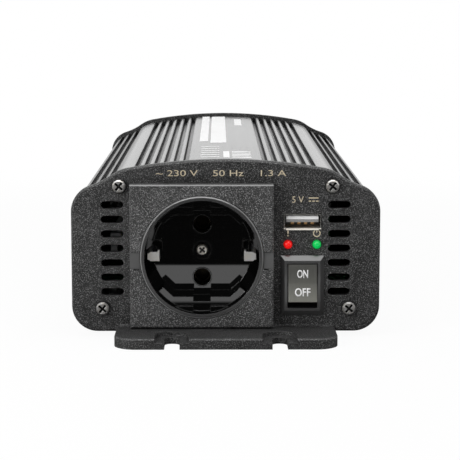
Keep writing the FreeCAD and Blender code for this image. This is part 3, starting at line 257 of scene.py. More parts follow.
anodisedLook = {
    "crown": crownRadius, "top": crownTop, "grooveFrom": -0.9 * mm, "crestFrom": -0.25 * mm,
    "flankFrom": -4.5 * mm, "flankTo": -6.5 * mm, "dark": shade(0.010), "light": shade(0.022),
    "crestRough": 0.18, "grooveRough": 0.30, "crestCoat": 0.42, "grooveCoat": 0.20,
    "drawn": 700, "drawnFrom": 0.3, "drawnTo": 0.7, "drawnRough": 0.06, "cloud": 25, "cloudRough": 0.04,
    "ior": 1.5, "coatRough": 0.12, "bump": 0.004 * mm, "edge": 0.5 * mm,
}


def anodisedFinish(look):
    material, board = newFinish("anodisedBlack")
    x, z = board.axes("XZ")
    drawn = board.noise(look["drawn"], 4.0, 0.6, (1, 0.02, 1))
    cloud = board.noise(look["cloud"], 3.0, 0.5)
    depth = z + x * x * (0.5 / look["crown"]) - look["top"]
    crest = depth.between(look["grooveFrom"], look["crestFrom"])
    colour = board.mix(drawn.between(look["drawnFrom"], look["drawnTo"]), look["dark"], look["light"])
    gloss = look["grooveRough"] - crest * (look["grooveRough"] - look["crestRough"])
    gloss = gloss + drawn * look["drawnRough"] + cloud * look["cloudRough"]
    flank = 1.0 - depth.between(look["flankTo"], look["flankFrom"])
    bare = crest + flank - crest * flank
    coat = look["grooveCoat"] + bare * (look["crestCoat"] - look["grooveCoat"])
    fixed = {"IOR": look["ior"], "Coat IOR": look["ior"], "Coat Roughness": look["coatRough"]}
    sockets = {"Base Color": colour, "Roughness": gloss, "Coat Weight": coat}
    return closeFinish(material, board, sockets, fixed, drawn, look["bump"], look["edge"])


lensGlass = {
    "swirl": 500, "rimShade": 0.4, "rough": 0.05, "swirlRough": 0.03, "lit": 0.40, "ior": 1.45,
    "coat": 0.4, "coatRough": 0.03,
}
# The rim tone of each lens is painted shade toward the edge of the dome.
redLensLook = dict(lensGlass, name="redLens", core=tint(0.78, 0.006, 0.004), rim=tint(0.40, 0.0, 0.0),
                   glow=tint(0.8, 0.01, 0.01))
greenLensLook = dict(lensGlass, name="greenLens", core=tint(0.004, 0.48, 0.09),
                     rim=tint(0.0, 0.24, 0.04), glow=tint(0.0, 0.5, 0.08))


def lampFinish(look):
    material, board = newFinish(look["name"])
    swirl = board.noise(look["swirl"], 2.0, 0.5)
    # Painted shade: the lens colour darkens from its core towards its silhouette by facing, standing in for
    # shading on the dome.
    rimShade = board.add("ShaderNodeLayerWeight", {}, {"Blend": look["rimShade"]}, "Facing")
    colour = board.mix(rimShade, look["core"], look["rim"])
    sockets = {"Base Color": colour, "Roughness": look["rough"] + swirl * look["swirlRough"]}
    fixed = {
        "Emission Color": look["glow"], "Emission Strength": look["lit"], "IOR": look["ior"],
        "Coat Weight": look["coat"], "Coat Roughness": look["coatRough"],
    }
    return closeFinish(material, board, sockets, fixed)


boardLook = {
    "mask": tint(0.012, 0.10, 0.035), "copper": tint(0.05, 0.26, 0.10), "track": 260,
    "lineFrom": 0.52, "lineTo": 0.58, "lineEdge": 0.02, "rough": 0.30, "trackRough": 0.1, "ior": 1.5,
    "bump": 0.03 * mm,
}


def boardFinish(look):
    material, board = newFinish("solderMask")
    tracks = board.noise(look["track"], 1.0, 0.3, (1, 0.15, 1))
    lines = tracks.between(look["lineFrom"], look["lineFrom"] + look["lineEdge"])
    lines = lines - tracks.between(look["lineTo"], look["lineTo"] + look["lineEdge"])
    colour = board.mix(lines, look["mask"], look["copper"])
    sockets = {"Base Color": colour, "Roughness": look["rough"] + tracks * look["trackRough"]}
    return closeFinish(material, board, sockets, {"IOR": look["ior"]}, lines, look["bump"])


windingLook = {
    "dark": tint(0.62, 0.40, 0.05), "light": tint(0.80, 0.58, 0.12), "turns": 2600, "rough": 0.32,
    "turnRough": 0.04, "ior": 1.5, "bump": 0.08 * mm,
}


def windingFinish(look):
    material, board = newFinish("windingTape")
    z, = board.axes("Z")
    layers = board.add("ShaderNodeMath", {"operation": "SINE"}, {0: z * look["turns"]})
    colour = board.mix(layers.between(-1.0, 1.0), look["dark"], look["light"])
    sockets = {"Base Color": colour, "Roughness": look["rough"] + layers * look["turnRough"]}
    return closeFinish(material, board, sockets, {"IOR": look["ior"]}, layers, look["bump"])


sleeveLook = {
    "top": 36.0 * mm, "topEnd": 36.4 * mm, "dark": tint(0.008, 0.012, 0.05),
    "light": tint(0.015, 0.025, 0.09), "mark": 90, "markFrom": 0.4, "markTo": 0.6, "rough": 0.28,
    "markRough": 0.1, "ior": 1.5, "bump": 0.1 * mm,
}


def sleeveFinish(look):
    material, board = newFinish("capacitorSleeve")
    z, = board.axes("Z")
    top = z.between(look["top"], look["topEnd"])
    mark = board.noise(look["mark"], 1.0, 0.4)
    colour = board.mix(mark.between(look["markFrom"], look["markTo"]), look["dark"], look["light"])
    sockets = {"Base Color": colour, "Roughness": look["rough"] + mark * look["markRough"]}
    return closeFinish(material, board, sockets, {"IOR": look["ior"]}, top, look["bump"])


# The pale tone and its share are painted light on the lower part of the rocker.
rockerLook = {
    "low": 10 * mm, "high": 25 * mm, "dark": tint(0.060, 0.060, 0.055),
    "paintedLitTone": tint(0.205, 0.205, 0.180), "brush": 1400, "paintedLightShare": 0.8, "rough": 0.30, "brushRough": 0.1,
    "ior": 1.5, "bump": 0.01 * mm, "edge": 0.3 * mm,
}


def rockerFinish(look):
    material, board = newFinish("rockerBlack")
    z, = board.axes("Z")
    brushed = board.noise(look["brush"], 2.0, 0.6, (1, 1, 0.12))
    # Painted light: the rocker is coloured paler towards its bottom, standing in for its lower face tilting
    # up into the light.
    toneMix = (1.0 - z.between(look["low"], look["high"])) * look["paintedLightShare"] + brushed * (1 - look["paintedLightShare"])
    colour = board.mix(toneMix, look["dark"], look["paintedLitTone"])
    sockets = {"Base Color": colour, "Roughness": look["rough"] + brushed * look["brushRough"]}
    return closeFinish(material, board, sockets, {"IOR": look["ior"]}, brushed, look["bump"],
                       look["edge"])


# The lip tone is a painted highlight on the shell's lower lip.
portLook = {
    "lipTop": 38.25 * mm, "lipBlend": 0.1 * mm, "stepLow": 41.3 * mm, "stepHigh": 41.5 * mm,
    "plated": tint(0.60, 0.59, 0.56), "lip": tint(0.92, 0.88, 0.80), "shaded": shade(0.26),
    "white": shade(0.92), "bump": 0.004 * mm, "edge": 0.1 * mm,
    "brush": 400, "rough": 0.22, "lipRough": 0.3, "brushRough": 0.1, "lipDull": 0.8,
    "fine": 900, "insertRough": 0.35, "fineRough": 0.05, "ior": 1.5,
}


def portShellFinish(look):
    material, board = newFinish("portShell")
    z, = board.axes("Z")
    brush = board.noise(look["brush"], 4.0, 0.6, (0.1, 1, 1))
    # Painted highlight: the shell's lower lip is coloured pale cream and made less metallic so that it reads
    # bright.
    lip = 1.0 - z.between(look["lipTop"], look["lipTop"] + look["lipBlend"])
    colour = board.mix(lip, look["plated"], look["lip"])
    gloss = look["rough"] + lip * look["lipRough"] + brush * look["brushRough"]
    sockets = {"Base Color": colour, "Roughness": gloss, "Metallic": 1.0 - lip * look["lipDull"]}
    return closeFinish(material, board, sockets, {}, brush, look["bump"], look["edge"])


def portInsertFinish(look):
    material, board = newFinish("whiteInsulator")
    z, = board.axes("Z")
    fine = board.noise(look["fine"], 2.0, 0.5)
    colour = board.mix(z.between(look["stepLow"], look["stepHigh"]), look["shaded"], look["white"])
    sockets = {"Base Color": colour, "Roughness": look["insertRough"] + fine * look["fineRough"]}
    return closeFinish(material, board, sockets, {"IOR": look["ior"]}, fine, look["bump"], look["edge"])


# The pale tone between the two edge radii is a painted highlight on the cup rim's bevel.
cupLook = {
    "front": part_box("socket_cup")[0][1], "rim": 0.45 * mm, "rimEnd": 0.6 * mm, "rimRough": 0.25,
    "x": socketX, "z": 28.75 * mm, "edgeFrom": 20.75 * mm, "edgeTo": 21.0 * mm,
    "black": shade(0.001), "satin": shade(0.032), "paintedHighlight": shade(0.20), "edge": 0.2 * mm,
    "haze": 60, "rough": 0.01, "hazeRough": 0.02, "ior": 1.8,
}


def cupFinish(look):
    material, board = newFinish("polishedCup")
    x, y, z = board.axes("XYZ")
    haze = board.noise(look["haze"], 3.0, 0.5)
    rim = 1.0 - y.between(look["front"] + look["rim"], look["front"] + look["rimEnd"])
    satin = board.mix(rim, look["black"], look["satin"])
    # Painted highlight: a thin pale ring at the cup's outer edge, standing in for light on its bevel.
    across = x - look["x"]
    up = z - look["z"]
    spanSquared = look["edgeTo"] ** 2 - look["edgeFrom"] ** 2
    beyond = across * across + up * up - look["edgeFrom"] ** 2
    outer = (beyond * (1 / spanSquared)).between(0.0, 1.0)
    colour = board.mix(outer * rim, satin, look["paintedHighlight"])
    gloss = look["rough"] + haze * look["hazeRough"] + rim * look["rimRough"]
    sockets = {"Base Color": colour, "Roughness": gloss}
    return closeFinish(material, board, sockets, {"IOR": look["ior"]}, edge=look["edge"])


# The hollow tone is painted shade in the screw's cross recess.
screwLook = {
    "name": "capScrew", "front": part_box("front_cap_screws")[0][1], "recess": 0.40 * mm,
    "floor": 0.85 * mm, "plated": shade(0.80), "dull": tint(0.66, 0.63, 0.58),
    "recessShadeTone": shade(0.004), "rough": 0.34, "bump": 0.01 * mm, "edge": 0.2 * mm,
    "brush": 900, "brushFrom": 0.35, "brushTo": 0.65, "brushRough": 0.12, "deepRough": 0.2,
    "deepDull": 0.7,
}
earthScrewLook = dict(screwLook, name="earthScrew", front=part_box("socket_screw")[0][1],
                      plated=tint(1.0, 0.96, 0.88), dull=tint(0.90, 0.85, 0.76), rough=0.24)


def screwFinish(look):
    material, board = newFinish(look["name"])
    y, = board.axes("Y")
    brush = board.noise(look["brush"], 3.0, 0.6)
    # Painted shade: the cross recess below the head's face is coloured near black, duller and less metallic,
    # where shade falls.
    recessShade = y.between(look["front"] + look["recess"], look["front"] + look["floor"])
    plated = board.mix(brush.between(look["brushFrom"], look["brushTo"]), look["plated"], look["dull"])
    colour = board.mix(recessShade, plated, look["recessShadeTone"])
    gloss = look["rough"] + brush * look["brushRough"] + recessShade * look["deepRough"]
    sockets = {"Base Color": colour, "Roughness": gloss, "Metallic": 1.0 - recessShade * look["deepDull"]}
    return closeFinish(material, board, sockets, {}, brush, look["bump"], look["edge"])


plastics = {
    "gloss": {"name": "polishedBlack", "colour": shade(0.001), "second": shade(0.002), "rough": 0.0,
              "ior": 1.8, "bump": 0.0},
    "switch": {"name": "satinBlack", "colour": shade(0.035), "second": shade(0.045), "rough": 0.26,
               "ior": 1.7, "coat": 0.8, "edge": 0.3 * mm, "bump": 0.002 * mm},
    "fanBlack": {"name": "fanBlack", "colour": shade(0.012), "second": shade(0.02), "rough": 0.42},
    "redKnob": {"name": "redMoulding", "colour": tint(0.55, 0.010, 0.010),
                "second": tint(0.45, 0.008, 0.008), "rough": 0.42},
    "blackKnob": {"name": "blackMoulding", "colour": shade(0.010), "second": shade(0.015), "rough": 0.42},
    "ferrite": {"name": "ferrite", "colour": shade(0.03), "second": shade(0.05), "rough": 0.55,
                "bump": 0.02 * mm},
    "chip": {"name": "mouldedChip", "colour": shade(0.012), "second": shade(0.02), "rough": 0.5,
             "bump": 0.02 * mm},
    "pad": {"name": "siliconePad", "colour": shade(0.30), "second": shade(0.26), "rough": 0.7},
    "choke": {"name": "chokeEnamel", "colour": tint(0.50, 0.20, 0.05), "second": tint(0.36, 0.13, 0.03),
              "rough": 0.25, "coat": 0.4},
    "film": {"name": "filmCase", "colour": tint(0.62, 0.45, 0.04), "second": tint(0.55, 0.38, 0.03),
             "rough": 0.3},
    "fuse": {"name": "fuseBlue", "colour": tint(0.02, 0.12, 0.55), "second": tint(0.02, 0.09, 0.42),
             "rough": 0.2},
    "redLead": {"name": "redSheath", "colour": tint(0.5, 0.01, 0.01), "second": tint(0.4, 0.01, 0.01)},
    "blackLead": {"name": "blackSheath", "colour": shade(0.012), "second": shade(0.02)},
    "brownLead": {"name": "brownSheath", "colour": tint(0.16, 0.06, 0.02),
                  "second": tint(0.12, 0.04, 0.015)},
    "cream": {"name": "creamInk", "colour": tint(0.60, 0.52, 0.38), "second": tint(0.50, 0.43, 0.30),
              "rough": 0.5, "edge": 0, "bump": 0.002 * mm},
    "landInk": {"name": "landInk", "colour": shade(0.95), "second": shade(0.92), "rough": 0.6,
                "edge": 0, "bump": 0.002 * mm},
    "white": {"name": "whiteInk", "colour": shade(0.88), "second": shade(0.80), "edge": 0,
              "bump": 0.002 * mm},
}
metals = {
    "nickel": {"name": "nickelPlate", "colour": shade(0.42), "second": tint(0.36, 0.35, 0.33), "rough": 0.24},
    "spring": {"name": "springStrip", "colour": shade(0.95), "second": tint(0.90, 0.87, 0.80), "rough": 0.34},
    # Painted shade: the brass contact sleeves deep in the socket are coloured near black.
    "shadedBrassContact": {"name": "shadedBrassContact", "colour": tint(0.06, 0.05, 0.035),
                    "second": tint(0.03, 0.026, 0.02), "rough": 0.30},
    "brass": {"name": "brightBrass", "colour": tint(0.83, 0.60, 0.25), "second": tint(0.74, 0.50, 0.18),
              "rough": 0.22},
    "gold": {"name": "gildedContact", "colour": tint(1.0, 0.72, 0.40), "second": tint(0.95, 0.62, 0.30),
             "rough": 0.40},
    "tinned": {"name": "tinnedCopper", "colour": tint(0.72, 0.72, 0.70), "second": tint(0.60, 0.60, 0.58),
               "rough": 0.28},
    "bareMetal": {"name": "millAluminium", "colour": tint(0.75, 0.75, 0.76),
                  "second": tint(0.62, 0.62, 0.63), "rough": 0.30, "stretch": (1, 0.05, 1)},
    "rearScrew": {"name": "rearScrew", "colour": shade(0.50), "second": tint(0.40, 0.39, 0.37),
                  "rough": 0.26},
}
finishes = {
    "anodised": anodisedFinish(anodisedLook), "cap": capFinish(capLook), "frame": frameFinish(frameLook),
    "cup": cupFinish(cupLook), "rocker": rockerFinish(rockerLook), "capScrew": screwFinish(screwLook),
    "earthScrew": screwFinish(earthScrewLook), "shell": portShellFinish(portLook),
    "whiteInsert": portInsertFinish(portLook), "board": boardFinish(boardLook),
    "winding": windingFinish(windingLook), "sleeve": sleeveFinish(sleeveLook),
    "redLens": lampFinish(redLensLook), "greenLens": lampFinish(greenLensLook),
}
for key, look in plastics.items():
    finishes[key] = smoothPlastic(look)
for key, look in metals.items():
    finishes[key] = metalFinish(look)

nodeFinish = {
    "extruded_body": "anodised", "front_end_cap": "cap", "rear_end_cap": "cap",
    "front_cap_screws": "capScrew", "rear_cap_screws": "rearScrew", "fan_screws": "rearScrew",
    "socket_frame": "frame", "socket_cup": "cup", "socket_base": "gloss",
    "contact_sleeves": "shadedBrassContact", "socket_screw": "earthScrew",
    "earth_clip_left": "spring", "earth_clip_right": "spring",
    "switch_housing": "switch", "switch_rocker": "rocker", "switch_terminals": "brass",
    "usb_shell": "shell", "usb_tongue": "whiteInsert", "usb_contacts": "gold",
    "fault_lamp": "redLens", "power_lamp": "greenLens", "lamp_legs": "tinned",
    "panel_board": "board", "panel_board_screws": "nickel",
    "fan_frame": "fanBlack", "fan_rotor": "fanBlack",
    "positive_collar": "redKnob", "negative_collar": "blackKnob",
    "positive_knob": "redKnob", "negative_knob": "blackKnob",
    "positive_washer": "nickel", "negative_washer": "nickel",
    "post_studs": "brass", "ring_lugs": "tinned", "post_nuts": "nickel",
    "main_board": "board", "transformer_core": "ferrite", "transformer_winding": "winding",
    "bulk_capacitors": "sleeve", "input_capacitors": "sleeve",
    "power_transistors": "chip", "insulating_pads": "pad", "clamp_bars": "bareMetal",
    "output_choke": "choke", "film_capacitor": "film", "blade_fuses": "fuse",
    "driver_board": "board", "driver_chips": "chip",
    "positive_lead": "redLead", "negative_lead": "blackLead", "mains_leads": "brownLead",
    "switch_leads": "blackLead", "fan_leads": "blackLead",
}


def dress(obj, finish):
    obj.data.materials.clear()
    obj.data.materials.append(finishes[finish])


for node, finish in nodeFinish.items():
    dress(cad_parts[node], finish)
print("finishes done")


# Making and placing pieces

def newPiece(name, shape, finish, body, smooth=True):
    mesh = bpy.data.meshes.new(name)
    bmesh.ops.recalc_face_normals(shape, faces=shape.faces)
    shape.to_mesh(mesh)
    shape.free()
    obj = bpy.data.objects.new(name, mesh)
    scene.collection.objects.link(obj)
    dress(obj, finish)
    if smooth:
        mesh.polygons.foreach_set("use_smooth", [True] * len(mesh.polygons))
    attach(obj, body)
    return obj


def textShape(words, weight=0.0):
    curve = bpy.data.curves.new("words", "FONT")
    curve.body = words
    curve.resolution_u = 4
    curve.offset = weight
    holder = bpy.data.objects.new("words", curve)
    scene.collection.objects.link(holder)
    mesh = bpy.data.meshes.new_from_object(holder.evaluated_get(bpy.context.evaluated_depsgraph_get()))
    shape = bmesh.new()
    shape.from_mesh(mesh)
    bpy.data.objects.remove(holder)
    bpy.data.curves.remove(curve)
    bpy.data.meshes.remove(mesh)
    return shape


def fitFlat(shape, width, height):
    low = Vector((min(v.co.x for v in shape.verts), min(v.co.y for v in shape.verts), 0))
    high = Vector((max(v.co.x for v in shape.verts), max(v.co.y for v in shape.verts), 0))
    middle = (low + high) / 2
    bmesh.ops.translate(shape, verts=shape.verts, vec=-middle)
    bmesh.ops.scale(shape, verts=shape.verts, vec=(width / (high.x - low.x), height / (high.y - low.y), 1))


def inkDepth(shape, depth=0.03 * mm):
    grown = bmesh.ops.extrude_face_region(shape, geom=shape.faces)
    lifted = [g for g in grown["geom"] if isinstance(g, bmesh.types.BMVert)]
    bmesh.ops.translate(shape, verts=lifted, vec=(0, 0, depth))


def stand(shape, centre, lean=0.0):
    turn = Matrix.Rotation(math.radians(90 + lean), 4, "X")
    bmesh.ops.transform(shape, matrix=Matrix.Translation(centre) @ turn, verts=shape.verts)


def barShape(width, height):
    shape = bmesh.new()
    bmesh.ops.create_grid(shape, x_segments=1, y_segments=1, size=0.5)
    bmesh.ops.scale(shape, verts=shape.verts, vec=(width, height, 1))
    return shape


# Print on the front panel

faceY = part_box("socket_frame")[1][1]
printLift = 0.01 * mm
portPrintZ = 48.3 * mm
lampPrintZ = 36.5 * mm
redLampX = 21.6 * mm
greenLampX = 31.6 * mm
ratingLine = {
    "words": "~ 230 V    50 Hz    1.3 A", "width": 45 * mm, "height": 2.1 * mm,
    "x": -1.6 * mm, "z": 57.5 * mm,
}
portMark = {"words": "5 V", "width": 4.0 * mm, "height": 2.2 * mm, "x": 25.0 * mm, "z": portPrintZ}
portBars = {"width": 3.4 * mm, "height": 0.4 * mm, "x": 30.4 * mm, "z": portPrintZ, "gap": 0.55 * mm}
portDashes = 3
powerMark = {
    "x": greenLampX, "z": lampPrintZ, "radius": 0.95 * mm, "line": 0.36 * mm, "gap": 70, "steps": 28,
    "bar": 1.2 * mm, "barLift": 0.85 * mm,
}
faultMark = {"words": "!", "width": 0.6 * mm, "height": 2.1 * mm, "x": redLampX, "z": lampPrintZ}


def panelWords(name, spec):
    shape = textShape(spec["words"])
    fitFlat(shape, spec["width"], spec["height"])
    inkDepth(shape)
    stand(shape, (spec["x"], faceY - printLift, spec["z"]))
    newPiece(name, shape, "cream", "casing", False)


def panelBar(name, width, height, x, z):
    shape = barShape(width, height)
    inkDepth(shape)
    stand(shape, (x, faceY - printLift, z))
    newPiece(name, shape, "cream", "casing", False)


def openRing(name, spec):
    shape = bmesh.new()
    inner = shape.verts.new((0, spec["radius"], 0))
    outer = shape.verts.new((0, spec["radius"] + spec["line"], 0))
    edge = shape.edges.new((inner, outer))
    gap = math.radians(spec["gap"])
    start = Matrix.Rotation(gap / 2, 3, "Z")
    bmesh.ops.rotate(shape, verts=shape.verts, matrix=start, cent=(0, 0, 0))
    bmesh.ops.spin(shape, geom=[inner, outer, edge], cent=(0, 0, 0), axis=(0, 0, 1),
                   angle=2 * math.pi - gap, steps=spec["steps"], use_merge=False)
    inkDepth(shape)
    stand(shape, (spec["x"], faceY - printLift, spec["z"]))
    newPiece(name, shape, "cream", "casing", False)


panelWords("ratingPrint", ratingLine)
panelWords("portPrint", portMark)
panelWords("faultPrint", faultMark)
openRing("powerPrint", powerMark)
panelBar("powerPrintBar", powerMark["line"], powerMark["bar"], powerMark["x"],
         powerMark["z"] + powerMark["barLift"])
panelBar("portBarTop", portBars["width"], portBars["height"], portBars["x"], portBars["z"] + portBars["gap"])
for index in range(portDashes):
    dash = portBars["width"] / (portDashes + 1)
    offset = (index - 1) * (portBars["width"] - dash) / 2
    panelBar("portDash%d" % index, dash, portBars["height"], portBars["x"] + offset,
             portBars["z"] - portBars["gap"])
print("panel print done")


# Legends on the rocker

rockerFaces = {
    "pivotY": faceY + 2.0 * mm, "pivotZ": 18.3 * mm, "x": 26.65 * mm, "reach": 4.9 * mm,
    "dip": 0.9 * mm, "half": 6.5 * mm, "tilt": 12.0,
}
legends = {
    "onLegend": {"words": "ON", "width": 3.8 * mm, "height": 2.9 * mm, "along": 3.3 * mm, "weight": 0.02},
    "offLegend": {"words": "OFF", "width": 5.4 * mm, "height": 2.9 * mm, "along": -3.1 * mm, "weight": 0.02},
}


def rockerLegend(name, spec):
    lean = math.degrees(math.atan2(rockerFaces["dip"], rockerFaces["half"]))
    side = math.copysign(1, spec["along"])
    shape = textShape(spec["words"], spec["weight"])
    fitFlat(shape, spec["width"], spec["height"])
    inkDepth(shape)
    slope = math.radians(lean)
    out = rockerFaces["reach"] + abs(spec["along"]) * math.sin(slope) + printLift
    stand(shape, (rockerFaces["x"], -out, spec["along"] * math.cos(slope)), side * lean)
    turn = Matrix.Rotation(math.radians(-rockerFaces["tilt"]), 4, "X")
    place = Matrix.Translation((0, rockerFaces["pivotY"], rockerFaces["pivotZ"]))
    bmesh.ops.transform(shape, matrix=place @ turn, verts=shape.verts)
    newPiece(name, shape, "white", "rocker", False)


for name, spec in legends.items():
    rockerLegend(name, spec)
print("rocker legends done")


# White blocks on the flat land along the top

landLook = {"crown": crownRadius, "top": crownTop, "lift": 0.015 * mm}
landBlocks = [
    {"name": "landStripeThin", "x": -8.3, "y": 41, "width": 3.4, "long": 134},
    {"name": "landStripeWide", "x": -2.5, "y": 36, "width": 6.2, "long": 140},
    {"name": "landSquare", "x": 6.3, "y": 72, "width": 3.1, "long": 37},
    {"name": "landPlate", "x": 0.4, "y": -82, "width": 2.2, "long": 24},
]
landLines = {"name": "landLine", "x": 5.9, "y": -92.6, "width": 6.9, "long": 3.2, "pitch": 5.3, "count": 5}
landRows = {"name": "landRow", "x": -5.6, "y": -90.5, "width": 6.8, "long": 2.0, "pitch": 8.0, "count": 6}


def landBlock(spec):
    shape = bmesh.new()
    bmesh.ops.create_grid(shape, x_segments=8, y_segments=2, size=0.5)
    bmesh.ops.scale(shape, verts=shape.verts, vec=(spec["width"] * mm, spec["long"] * mm, 1))
    bmesh.ops.translate(shape, verts=shape.verts, vec=(spec["x"] * mm, spec["y"] * mm, 0))
    radius = landLook["crown"]
    for vert in shape.verts:
        drop = radius - math.sqrt(radius ** 2 - vert.co.x ** 2)
        vert.co.z = landLook["top"] - drop + landLook["lift"]
    inkDepth(shape)
    newPiece(spec["name"], shape, "landInk", "casing", False)


for spec in landBlocks:
    landBlock(spec)
for spec in (landLines, landRows):
    for index in range(spec["count"]):
        landBlock(dict(spec, name=spec["name"] + str(index), y=spec["y"] + index * spec["pitch"]))
print("land print done")


# Polarity marks at the battery posts

rearY = -faceY
polarity = {"size": 3.4 * mm, "line": 0.8 * mm, "z": 43.5 * mm, "plus": 12 * mm, "minus": 34 * mm}


def rearBar(name, x, width, height):
    shape = barShape(width, height)
    inkDepth(shape)
    turn = Matrix.Rotation(math.pi, 4, "Z") @ Matrix.Rotation(math.pi / 2, 4, "X")
    place = Matrix.Translation((x, rearY + printLift, polarity["z"]))
    bmesh.ops.transform(shape, matrix=place @ turn, verts=shape.verts)
    newPiece(name, shape, "cream", "casing", False)


rearBar("plusAcross", polarity["plus"], polarity["size"], polarity["line"])
rearBar("plusUp", polarity["plus"], polarity["line"], polarity["size"])
rearBar("minusAcross", polarity["minus"], polarity["size"], polarity["line"])
print("polarity marks done")


# Lamp lenses

lensLook = {
    "radius": 1.5 * mm, "proud": 0.5 * mm, "flange": 1.9 * mm, "inside": 3.0 * mm, "seat": 1.0 * mm,
    "z": 32.6 * mm, "domeSteps": 8, "turnSteps": 32,
}


def lens(name, node, x, finish):
    radius = lensLook["radius"]
    tip = faceY - lensLook["proud"]
    inner = faceY + lensLook["inside"]
    back = inner + lensLook["seat"]
    shape = bmesh.new()
    points = []
    for index in range(lensLook["domeSteps"] + 1):
        turn = math.pi / 2 * index / lensLook["domeSteps"]
        points.append((radius * math.sin(turn), tip - radius * math.cos(turn)))
    points += [(radius, inner), (lensLook["flange"], inner), (lensLook["flange"], back), (0, back)]
    verts = [shape.verts.new((x + r, y, lensLook["z"])) for r, y in points]
    edges = [shape.edges.new(pair) for pair in zip(verts, verts[1:])]
    bmesh.ops.spin(shape, geom=verts + edges, cent=(x, 0, lensLook["z"]), axis=(0, 1, 0),
                   angle=2 * math.pi, steps=lensLook["turnSteps"], use_merge=True)
    bmesh.ops.remove_doubles(shape, verts=shape.verts, dist=0.001 * mm)
    obj = newPiece(name, shape, finish, "casing", True)
    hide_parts(node)


lens("redLamp", "fault_lamp", redLampX, "redLens")
lens("greenLamp", "power_lamp", greenLampX, "greenLens")
print("lamps done")


# Floor, light and camera

def floorFinish(look):
    material, board = newFinish("studioFloor")
    paths = board.add("ShaderNodeLightPath")
    rays = paths.socket.node.outputs
    camera = Value(board, rays["Is Camera Ray"])
    glossy = Value(board, rays["Is Glossy Ray"])
    through = Value(board, rays["Is Transmission Ray"])
    x, y = board.axes("XY")
    paper = board.noise(look["paper"], 2.0, 0.5)
    tone = board.mix(paper, look["dark"], look["light"])
    matte = board.add("ShaderNodeBsdfDiffuse", {}, {"Color": tone})
    plain = board.add("ShaderNodeEmission", {}, {"Color": shade(1.0), "Strength": 1.0})
    shaded = y.between(look["shadeFrom"], look["shadeTo"]) * (1.0 - y.between(look["shadeEnd"], 0.0))
    bright = y.between(look["darkFrom"], look["brightFrom"]) * (1.0 - shaded)
    near = board.mix(bright, look["underShade"], shade(1.0))
    mirror = board.add("ShaderNodeEmission", {}, {"Color": near, "Strength": 1.0})
    away = (x * x + y * y).between(look["fadeFrom"] ** 2, look["fadeTo"] ** 2)
    white = camera.either(through) * (look["nearWhite"] + away * (1 - look["nearWhite"]))
    seen = board.add("ShaderNodeMixShader", {}, {0: white, 1: matte, 2: plain})
    whole = board.add("ShaderNodeMixShader", {}, {0: glossy, 1: seen, 2: mirror})
    board.add("ShaderNodeOutputMaterial", {}, {"Surface": whole})
    return material


floorLook = {
    "width": 6.0, "depth": 6.0, "fadeFrom": 0.15, "fadeTo": 0.45,
    "darkFrom": -0.248, "brightFrom": -0.243, "shadeFrom": -0.188, "shadeTo": -0.180, "shadeEnd": -0.10,
    "paper": 3, "dark": shade(0.80), "light": shade(0.84), "underShade": shade(0.02), "nearWhite": 0.94,
}
floorShape = bmesh.new()
bmesh.ops.create_grid(floorShape, x_segments=1, y_segments=1, size=0.5)
bmesh.ops.scale(floorShape, verts=floorShape.verts, vec=(floorLook["width"], floorLook["depth"], 1))
floorMesh = bpy.data.meshes.new("studioFloor")
floorShape.to_mesh(floorMesh)
floorShape.free()
floor = bpy.data.objects.new("studioFloor", floorMesh)
scene.collection.objects.link(floor)
floorMesh.materials.append(floorFinish(floorLook))


worldLook = {
    "behindFrom": -0.15, "behindTo": 0.15, "upFrom": 0.45, "upTo": 0.9,
    "ahead": shade(0.06), "ambient": shade(0.42),
}
softboxLooks = [
    {"name": "topBox", "place": (0.0, -0.10, 0.95), "aim": (0, -0.05, 0.03), "size": (1.0, 0.8),
     "power": 5.0},
    {"name": "leftBox", "place": (-0.42, -0.46, 0.22), "aim": (-0.03, -0.11, 0.03), "size": (0.22, 0.22),
     "power": 1.6},
    {"name": "rightBox", "place": (0.9, -0.45, 0.35), "aim": (0.02, -0.11, 0.03), "size": (0.4, 0.5),
     "power": 1.0},
]


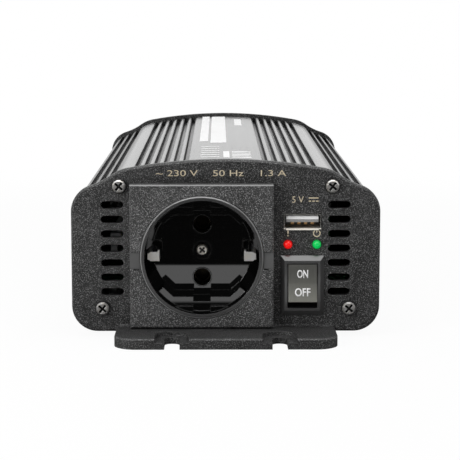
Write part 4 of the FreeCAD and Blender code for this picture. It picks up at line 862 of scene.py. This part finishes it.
def studioWorld(look):
    world = bpy.data.worlds.new("studio")
    scene.world = world
    world.use_nodes = True
    board = Board(world.node_tree)
    rays = board.add("ShaderNodeLightPath").socket.node.outputs
    camera = Value(board, rays["Is Camera Ray"])
    glossy = Value(board, rays["Is Glossy Ray"])
    through = Value(board, rays["Is Transmission Ray"])
    where = board.add("ShaderNodeTexCoord", output="Generated")
    parts = board.add("ShaderNodeSeparateXYZ", {}, {"Vector": where}).socket.node.outputs
    behind = Value(board, parts["Y"]).between(look["behindFrom"], look["behindTo"])
    up = Value(board, parts["Z"]).between(look["upFrom"], look["upTo"])
    mirror = board.mix(behind.either(up), look["ahead"], shade(1.0))
    ambient = board.mix(glossy, look["ambient"], mirror)
    colour = board.mix(camera.either(through), ambient, shade(1.0))
    back = board.add("ShaderNodeBackground", {}, {"Color": colour, "Strength": 1.0})
    board.add("ShaderNodeOutputWorld", {}, {"Surface": back})


def softbox(look):
    lamp = bpy.data.lights.new(look["name"], "AREA")
    lamp.shape = "RECTANGLE"
    lamp.size, lamp.size_y = look["size"]
    lamp.energy = look["power"]
    obj = bpy.data.objects.new(look["name"], lamp)
    scene.collection.objects.link(obj)
    obj.location = look["place"]
    view = Vector(look["aim"]) - Vector(look["place"])
    obj.rotation_euler = view.to_track_quat("-Z", "Y").to_euler()


studioWorld(worldLook)
for look in softboxLooks:
    softbox(look)

photoView = {
    "focalPixels": 1654.948, "imageSize": 460, "sensor": 36.0,
    "place": (-2.64 * mm, -682.95 * mm, 118.34 * mm),
    "pitch": 8.079, "yaw": 0.415,
}
camera = bpy.data.cameras.new("photoCamera")
camera.sensor_width = photoView["sensor"]
camera.lens = photoView["focalPixels"] / photoView["imageSize"] * photoView["sensor"]
camera.clip_start = 0.01
cameraHolder = bpy.data.objects.new("photoCamera", camera)
scene.collection.objects.link(cameraHolder)
cameraHolder.location = photoView["place"]
cameraHolder.rotation_euler = (math.radians(90 - photoView["pitch"]), 0, math.radians(-photoView["yaw"]))
scene.camera = cameraHolder
scene.view_settings.view_transform = "Standard"
print("studio done")
